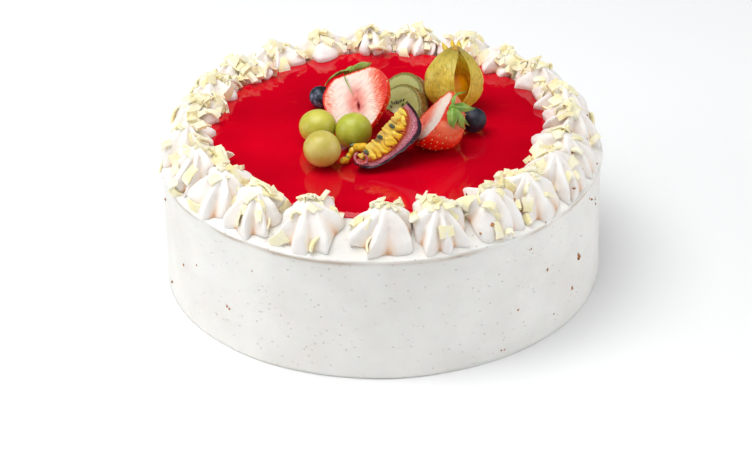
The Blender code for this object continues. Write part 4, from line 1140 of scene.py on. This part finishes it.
wall = np.concatenate([np.zeros(SKIN), np.linspace(0, 1, LOWER), np.ones(INSIDE), np.linspace(1, 0, UPPER)])
turn = np.concatenate([np.linspace(0, 1, SKIN), np.ones(LOWER), np.linspace(1, 0, INSIDE), np.zeros(UPPER)])
radius = rind_radius + (pulp_radius + GAP * np.sin(polar) - rind_radius) * wall
half_length = PASSION_HALF_LENGTH + (PULP_HALF_LENGTH - PASSION_HALF_LENGTH) * wall
rind_points = wedge(radius, turn * PASSION_ANGLE, half_length)
passion_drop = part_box("passion_fruit_rind")[0].z + 0.1 * MM - in_wedge(rind_points)[..., 2].min()
shrunk = -0.35 + 0.25 * ripple(rind_points, 7 * MM, 161) - 0.16 * np.abs(ripple(rind_points, 2.6 * MM, 162))
away = rind_points / np.linalg.norm(rind_points, axis=-1, keepdims=True)
rind_points = rind_points + away * (shrunk * (1 - wall) ** 2 * MM)[..., None]
waved = 0.35 * ripple(rind_points, 6 * MM, 163) + 0.15 * ripple(rind_points, 1.6 * MM, 164) - 0.5
on_face = (np.arange(len(wall)) >= SKIN + LOWER + INSIDE) * np.sin(math.pi * np.clip(wall, 0.02, 1)) ** 0.5
rind_points[..., 1] += on_face * waved * MM
wall_shade = wall + 0 * polar
rind_uv = np.stack([polar * 6 + 0 * wall, wall_shade], -1)

# The lower end of the wall has dried and curled into a loop: a band swept round a small ellipse
LOOP_MIDDLE = (1.2 * MM, -0.9 * MM, 17.0 * MM)
sweep = np.linspace(-0.4, 5.2, 60)[:, None]
section = np.linspace(0, 2 * math.pi, 16, endpoint=False)
across, over = 0.95 * MM * np.cos(section), 2.3 * MM * np.sin(section)
fade = np.sin(math.pi * np.linspace(0, 1, 60))[:, None] ** 0.3
loop_points = np.stack(
    [
        LOOP_MIDDLE[0] + (3.3 * MM + across * fade) * np.sin(sweep),
        LOOP_MIDDLE[1] + over * fade * (1 + 0.15 * np.sin(3 * sweep)),
        LOOP_MIDDLE[2] - (2.9 * MM + across * fade) * np.cos(sweep),
    ],
    -1,
)
loop_points[0], loop_points[-1] = loop_points[0].mean(0), loop_points[-1].mean(0)
loop_wall = np.where(np.cos(section) < -0.3, 1.0, np.where(np.sin(section) > 0.2, 0.45, 0.05)) + 0 * sweep
loop_uv = np.stack([sweep + 0 * section, loop_wall], -1)

# Passion fruit rind: leathery, a little waxy outside, moist and matt where it is cut.
WALL_STOPS = {0.31: "#2A0C1A", 0.38: "#5E1A32", 0.46: "#CC7A90", 0.66: "#E6A8AE", 0.88: "#D87C74"}
WALL_STOPS |= {0.97: "#B8442A"}
passion_rind = finish(
    "passion_fruit_rind_and_pith",
    {"IOR": 1.42, "Subsurface Weight": 0.1, "Subsurface Scale": 0.002}
    | {"Base Color": "dashed", "Roughness": "sheen", "Normal": "leathery"},
    wall=("Attribute", {"attribute_name": "wall"}),
    wall_map=("UVMap", {"uv_map": "UVMap"}),
    dash_map=("Mapping", {"Scale": (2.2, 5, 1), "Vector": "wall_map"}),
    dashes=("TexNoise", {"Scale": 3.4, "Detail": 5, "Vector": "dash_map"}),
    blotch=("TexNoise", {"Scale": 300, "Detail": 4}),
    frayed=("Math", {"operation": "MULTIPLY_ADD", 0: "blotch", 1: 0.18, 2: "wall"}),
    layers=("ValToRGB", {"stops": WALL_STOPS, "Fac": "frayed"}),
    in_pith=("ValToRGB", {"stops": {0.3: 0.0, 0.4: 1.0, 0.7: 1.0, 0.85: 0.0}, "Fac": "wall"}),
    dash=("ValToRGB", {"stops": {0.44: 0.0, 0.54: 0.9}, "Fac": "dashes"}),
    where_dash=("Math", {"operation": "MULTIPLY", 0: "in_pith", 1: "dash"}),
    dashed=("Mix", {0: "where_dash", 6: "layers", 7: "#98304A"}),
    sheen=("ValToRGB", {"stops": {0.1: 0.35, 0.4: 0.6}, "Fac": "wall"}),
    leathery=("Bump", {"Strength": 0.35, "Distance": 0.0005, "Height": "blotch"}),
)
piece(
    "passion_fruit_wall",
    [closed(in_wedge(rind_points)), closed(in_wedge(loop_points))],
    passion_rind,
    ["passion_fruit_rind"],
    {"wall": np.concatenate([wall_shade.ravel(), loop_wall.ravel()])},
    np.concatenate([rind_uv.reshape(-1, 2), loop_uv.reshape(-1, 2)]),
)

# Passion fruit pulp: a mass of juice sacs, each a few millimetres long round one flat seed, yellow and
# wet. A row of small orange teeth holds them to the pith, and a few sacs slid out of the lower end.
PULP_TOP = 64
PULP_BACK = 18
LOOSE_SACS = (  # middle and half width in mm, and the way it points
    ((-9.2, -38.6, 9.0), 2.5, (-0.6, 0.3, -0.2)),
    ((-12.4, -36.4, 8.0), 2.2, (-0.7, 0.6, -0.3)),
    ((-15.0, -36.2, 5.4), 1.9, (-0.5, -0.2, -0.9)),
    ((-19.4, -39.9, 2.2), 1.9, (-0.8, -0.5, 0.0)),
    ((-17.4, -37.6, 2.9), 1.8, (-0.6, -0.5, -0.5)),
)
SEEDS_IN_PULP = ((1.1, 12.9), (1.4, 2.1), (2.2, -6.5))
LOOSE_SEEDS = (
    ((-14.6, -32.6, 7.4), (1, 0.2, 0)),
    ((-15.4, -34.6, 5.9), (0.7, 0.7, 0.2)),
    ((-17.9, -38.2, 3.4), (0.6, 0.6, 0.3)),
)
draw = np.random.default_rng(171)
sac_z = np.cumsum(draw.uniform(2.1, 3.1, 13)) * MM - 17.5 * MM
sacs = []  # the middle's two places, half the length, the slope and how full it is
for z in sac_z:
    width = PULP_RADIUS * math.sqrt(max(0.05, 1 - (z / PULP_HALF_LENGTH) ** 2))
    parts = ((0.45, 0.62),) if draw.uniform() < 0.6 else ((0.12, 0.36), (0.62, 0.42))
    for share, long in parts:
        tilt, size = draw.uniform(-0.4, 0.4), draw.uniform(0.6, 1.15)
        sacs.append((width * share, z, max(2.2 * MM, width * long), tilt, size))
sacs = np.array(sacs)
span = np.linspace(0, 1, PULP_TOP)
arc = np.linspace(0, 1, PULP_BACK)[1:]
section_r = np.concatenate([span, 1 + 0 * arc, np.linspace(1, 0, PULP_BACK + 2)[1:-1]])
section_turn = np.concatenate([0 * span, arc, np.ones(PULP_BACK)]) * PASSION_ANGLE
is_top = (np.arange(len(section_r)) < PULP_TOP) * np.ones((PASSION_ROWS, 1))
radius = section_r * pulp_radius
pulp_points = wedge(radius, section_turn, PULP_HALF_LENGTH - GAP + 0 * radius)
warped_x = pulp_points[..., 0] + 0.9 * MM * ripple(pulp_points, 6 * MM, 174)
warped_z = pulp_points[..., 2] + 0.75 * MM * ripple(pulp_points, 6 * MM, 175)
gap_x = (warped_x[..., None] - sacs[:, 0]) / sacs[:, 2]
gap_z = (warped_z[..., None] - sacs[:, 1] - sacs[:, 3] * (warped_x[..., None] - sacs[:, 0])) / (1.7 * MM)
near = (np.sqrt(np.maximum(0, 1 - (np.abs(gap_x) ** 3 + gap_z**2))) * sacs[:, 4]).max(-1)
near = near + 0.09 * ripple(pulp_points, 3 * MM, 172)
pulp_points[..., 1] += is_top * (1.9 * near - 1.0) * MM * np.clip(np.sin(polar) * 2.2, 0, 1)
pulp_points[..., 0] -= bell(section_r, 0.22) * is_top * near * 1.3 * MM


def sac(middle, size, way, seed):
    """A juice sac: an egg three halves as long as it is wide, a little lumpy."""
    unit = ball(18, 24)
    lumpy = unit * (1, 1, 1.45) * (size * (1 + 0.09 * ripple(unit, 1.1, seed)))[..., None]
    return closed(lumpy @ frame_to(way, (0.3, 0.2, 1)) + on_jelly(middle))


loose = [sac(middle, size * MM, way, 180 + i) for i, (middle, size, way) in enumerate(LOOSE_SACS)]
loose_points = np.ones(sum(len(points) for points, _ in loose))
# Juice sacs: clear and wet, so they have a sharp gloss. Painted shade makes the creases between them deep
# orange; towards the fruit's axis they are paler, partly the juice over a seed and partly painted
# highlight.
CREASE_SHADE_STOPS = {0.0: "#8A4606", 0.35: "#D08C08", 0.7: "#ECB408", 0.9: "#F2C414", 1.0: "#F6D648"}
pulp_juice = finish(
    "passion_fruit_juice_sacs",
    {"Roughness": 0.14, "IOR": 1.36, "Subsurface Weight": 0.3, "Subsurface Scale": 0.002}
    | {"Base Color": "milky", "Normal": "stringy"},
    height=("Attribute", {"attribute_name": "swollen"}),
    side=("Attribute", {"attribute_name": "pale"}),
    threads=("TexNoise", {"Scale": 420, "Detail": 3}),
    depth=("ValToRGB", {"stops": CREASE_SHADE_STOPS, "Fac": "height"}),
    # Towards the axis the sacs are mixed with pale yellow: partly the juice over the seeds, partly painted
    # highlight
    paler=("Math", {"operation": "MULTIPLY", 0: "side", 1: 0.9}),
    thread=("Math", {"operation": "MULTIPLY", 0: "threads", 1: "paler"}),
    milky=("Mix", {0: "thread", 6: "depth", 7: "#E2D88A"}),
    stringy=("Bump", {"Strength": 0.3, "Distance": 0.0005, "Height": "threads"}),
)
piece(
    "passion_fruit_sacs",
    [closed(in_wedge(pulp_points))] + loose,
    pulp_juice,
    ["passion_fruit_pulp"],
    {
        "swollen": np.append((near * is_top).ravel(), 0.8 * loose_points),
        "pale": np.append((1 - section_r + 0 * radius).ravel(), 0.25 * loose_points),
    },
)

teeth = []
for angle in np.linspace(0.42, 2.75, 27):
    sine, cosine = math.sin(angle), math.cos(angle)
    root = np.array([(PULP_RADIUS - 0.2 * MM) * sine, 0, (PULP_HALF_LENGTH - 0.2 * MM) * cosine])
    inwards = -np.array([sine, 0, cosine])
    size = draw.uniform(0.8, 1.2)
    tooth = ball(7, 8) * (0.5 * MM * size, 0.45 * MM * size, 1.25 * MM * size)
    teeth.append(closed(in_wedge(tooth @ frame_to(inwards, (0, 1, 0)) + root + inwards * 0.5 * MM)))
# Placenta: soft, moist and orange red.
placenta = finish(
    "passion_fruit_teeth",
    {"Roughness": 0.3, "IOR": 1.4, "Base Color": "orange"},
    tone=("TexNoise", {"Scale": 260}),
    orange=("ValToRGB", {"stops": {0.35: "#A8321A", 0.65: "#DB6A28"}, "Fac": "tone"}),
)
piece("passion_fruit_teeth", teeth, placenta)

# Seeds: flat, dark and pitted, seen grey-green through the juice that still covers them
seeds = []
for x, z in SEEDS_IN_PULP:
    seed = ball(10, 14) * (1.9 * MM, 0.75 * MM, 1.2 * MM) @ frame_to((0.2, 0.1, 1), (0.1, 1, 0))
    seeds.append(closed(in_wedge(seed + np.array([x, 0.42, z]) * MM)))
for place, way in LOOSE_SEEDS:
    seed = ball(10, 14) * (1.4 * MM, 1.0 * MM, 2.2 * MM) @ frame_to(way, (0, 0, 1))
    seeds.append(closed(seed + on_jelly(place)))
wet_seed = finish(
    "passion_fruit_seed",
    {"Roughness": 0.15, "IOR": 1.38, "Coat Weight": 0.5, "Base Color": "murky"},
    film=("TexNoise", {"Scale": 380, "Detail": 3}),
    murky=("ValToRGB", {"stops": {0.35: "#2B2C1E", 0.55: "#5C6040", 0.75: "#8C8F62"}, "Fac": "film"}),
)
piece("passion_fruit_seeds", seeds, wet_seed)

# Physalis: the lantern is a dry paper husk with five ribs and a net of veins, torn open at the front so
# that the smooth orange berry shows. Its points are laid back behind it.
PHYSALIS_MIDDLE = (40.2, 20.4, 14.0)
PHYSALIS_AXIS = (0.08, 0.44, 0.89)
BERRY_RADIUS = 9.4 * MM
HUSK_WIDTH = 15.7 * MM
HUSK_BELOW = 13.5 * MM
HUSK_ABOVE = 22 * MM
HUSK_WALL = 0.55 * MM
HUSK_RIBS = 5
HUSK_GAP = math.radians(38)
HUSK_TURN = math.radians(16)
HUSK_ROWS = 110
TIPS = (  # paths of the points in mm, and their half widths
    (((37.4, 27.2, 29.6), (36.6, 30.0, 31.8), (35.6, 33.4, 32.6), (34.8, 37.4, 32.6)), 1.5),
    (((40.8, 28.2, 30.0), (40.4, 31.4, 32.4), (40.0, 35.6, 33.2), (40.4, 40.4, 33.2)), 1.3),
    (((44.0, 27.4, 29.4), (43.8, 31.0, 32.0), (43.4, 35.2, 33.0), (44.2, 39.6, 33.0)), 1.3),
)


def husk_width(share):
    """The husk's half width as a share of the largest: round below, full above, drawn to a point."""
    low = np.sqrt(np.maximum(0, 1 - (np.maximum(0, 0.42 - share) / 0.42) ** 2.4))
    high = np.maximum(0, 1 - (np.maximum(0, share - 0.42) / 0.58) ** 2.2) ** 0.8
    return np.where(share < 0.42, low, high)


share = (0.5 - 0.5 * np.cos(np.linspace(0, math.pi, HUSK_ROWS)))[:, None]
gap = HUSK_GAP * np.clip(np.sin(math.pi * np.clip((share - 0.1) / 0.84, 0, 1)), 0, 1) ** 0.6
# Columns run round the outside of the paper from the tear to the tear, and back on the inside
round_sheet = np.linspace(0, 1, 150)
out_and_back = np.concatenate([round_sheet, round_sheet[::-1]])
is_inner = np.concatenate([0 * round_sheet, 1 + 0 * round_sheet])
angle = HUSK_TURN + gap / 2 + out_and_back * (2 * math.pi - gap)
width = HUSK_WIDTH * husk_width(share) * (1 + 0.07 * np.cos(HUSK_RIBS * angle) * np.sin(math.pi * share))
rib_line = np.abs(np.sin(HUSK_RIBS * angle))
height = -HUSK_BELOW + (HUSK_BELOW + HUSK_ABOVE) * share
husk_points = turned(width, height, angle)
paper_dent = 0.35 * ripple(husk_points, 9 * MM, 191) + 0.15 * ripple(husk_points, 3.2 * MM, 192) - 0.3
edge_near = np.exp(-np.minimum(out_and_back, 1 - out_and_back) / 0.02) * (gap > 0.2)
moved = paper_dent * MM * np.sin(math.pi * share) + 0.7 * MM * edge_near - HUSK_WALL * is_inner
husk_points[..., :2] *= (1 + moved / HUSK_WIDTH)[..., None]
husk_turns = frame_to(PHYSALIS_AXIS, (0, 1, 0))
husk_world = husk_points @ husk_turns + on_jelly(PHYSALIS_MIDDLE)
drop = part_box("physalis_husk")[0].z - husk_world[..., 2].min() + 0.1 * MM
husk_world[..., 2] += drop
husk_world[..., 2] = np.minimum(husk_world[..., 2], box_high[2])
# Painted light: beside the tear, most of all inside and on the right and lower down, the paper is painted a
# brighter orange as if light came through it from the berry
beside = bell(angle - HUSK_TURN - gap / 2, 0.75)
husk_painted_glow = np.maximum(beside * np.clip(1.35 - 1.3 * share, 0, 1), 0.8 * is_inner) * 0.85
husk_uv = np.stack([angle * HUSK_WIDTH / MM / 10, height / MM / 10 + 0 * angle], -1)
tips = [
    blade([on_jelly(place) for place in path], half * MM, 0.5 * MM, 200 + number, 0.6)[0]
    for number, (path, half) in enumerate(TIPS)
]
tip_points = np.ones(sum(len(points) for points, _ in tips))

# Husk paper: a dry leaf without its green, golden and slightly see-through, with olive veins 3 mm apart.
husk_paper = finish(
    "physalis_paper",
    {"Roughness": 0.5, "Subsurface Weight": 0.8, "Subsurface Scale": 0.004}
    | {"Subsurface Radius": (1.0, 0.8, 0.3), "Base Color": "veined", "Normal": "raised"},
    rib_line=("Attribute", {"attribute_name": "rib"}),
    sheet=("UVMap", {"uv_map": "UVMap"}),
    net_map=("Mapping", {"Scale": (1.5, 0.45, 1), "Vector": "sheet"}),
    net=("TexVoronoi", {"feature": "DISTANCE_TO_EDGE", "Scale": 3.1, "Vector": "net_map"}),
    cloud=("TexNoise", {"Scale": 120, "Detail": 4}),
    gold=("ValToRGB", {"stops": {0.3: "#D8AE2C", 0.5: "#EEC242", 0.7: "#F8DA6C"}, "Fac": "cloud"}),
    glow=("Attribute", {"attribute_name": "glow"}),
    # Painted glow: by the tear and inside, the gold is mixed with bright orange
    lit=("Mix", {0: "glow", 6: "gold", 7: "#FFC03A"}),
    vein=("ValToRGB", {"stops": {0.0: 0.65, 0.06: 0.0}, "Fac": "net"}),
    rib=("ValToRGB", {"stops": {0.0: 0.85, 0.1: 0.0}, "Fac": "rib_line"}),
    lines=("Math", {"operation": "MAXIMUM", 0: "vein", 1: "rib"}),
    veined=("Mix", {0: "lines", 6: "lit", 7: "#8C7A20"}),
    raised=("Bump", {"Strength": 0.5, "Distance": 0.0005, "Height": "lines"}),
)
piece(
    "physalis_lantern",
    [closed(husk_world)] + tips,
    husk_paper,
    ["physalis_husk"],
    {
        "rib": np.append(rib_line.ravel(), 0.1 * tip_points),
        "glow": np.append((husk_painted_glow + 0 * angle).ravel(), 0 * tip_points),
    },
    np.concatenate([husk_uv.reshape(-1, 2), np.zeros((len(tip_points), 2))]),
)

unit = ball(48, 64)
rise = -HUSK_BELOW + 1.9 * MM + BERRY_RADIUS
uneven = 0.985 + 0.01 * ripple(unit, 1.5, 195)
berry_points = (unit * BERRY_RADIUS * uneven[..., None] + (0, 0, rise)) @ husk_turns
berry_points = berry_points + on_jelly(PHYSALIS_MIDDLE) + (0, 0, drop)
# Physalis skin: thin, smooth and glossy over juicy orange flesh.
orange_skin = finish(
    "physalis_orange",
    {"Roughness": 0.25, "IOR": 1.4, "Subsurface Weight": 0.3, "Subsurface Scale": 0.004}
    | {"Base Color": "orange"},
    cloud=("TexNoise", {"Scale": 140, "Detail": 2}),
    orange=("ValToRGB", {"stops": {0.3: "#FF9A00", 0.7: "#FFB60A"}, "Fac": "cloud"}),
)
piece("physalis_fruit", [closed(berry_points)], orange_skin, ["physalis_berry"])

# Floor and light: a pale table, a large soft light above the cake and a weaker one on each side, and a
# pale studio all round that is dim behind the cake above the table, where the jelly mirrors it.
LIGHT_TARGET = (0, 0, 0.06)
REACH = 3.0
floor_mesh = bpy.data.meshes.new("floor")
corners = [(-REACH, -REACH, 0), (REACH, -REACH, 0), (REACH, REACH, 0), (-REACH, REACH, 0)]
floor_mesh.from_pydata(corners, [], [(0, 1, 2, 3)])
floor = bpy.data.objects.new("floor", floor_mesh)
bpy.context.scene.collection.objects.link(floor)
floor_mesh.materials.append(finish("pale_table", {"Base Color": "#F9F9F8", "Roughness": 0.8}))

for name, place, size, power in (
    ("softbox_above", (-0.3, 0.0, 1.15), 0.9, 10.5),
    ("softbox_left", (-1.3, -0.2, 0.6), 0.8, 4.5),
    ("softbox_right", (1.3, -0.2, 0.6), 0.9, 4.5),
):
    softbox = bpy.data.lights.new(name, "AREA")
    softbox.size = size
    softbox.energy = power
    lamp = bpy.data.objects.new(name, softbox)
    bpy.context.scene.collection.objects.link(lamp)
    ray = Vector(LIGHT_TARGET) - Vector(place)
    lamp.matrix_world = Matrix.Translation(place) @ ray.to_track_quat("-Z", "Y").to_matrix().to_4x4()

world = bpy.data.worlds.new("studio")
bpy.context.scene.world = world
world.use_nodes = True
tree = world.node_tree
sky = node(tree, "TexCoord", {}, {})
towards_back = node(tree, "VectorMath", {"operation": "DOT_PRODUCT", 1: (0, 0.87, 0.5)}, {})
studio = node(tree, "ValToRGB", {"stops": {0.55: "#F2F5FA", 0.85: "#2A2A2C"}}, {})
tree.links.new(sky.outputs["Generated"], towards_back.inputs[0])
tree.links.new(towards_back.outputs["Value"], studio.inputs["Fac"])
node(tree, tree.nodes["Background"], {"Color": "studio", "Strength": 0.55}, {"studio": studio})
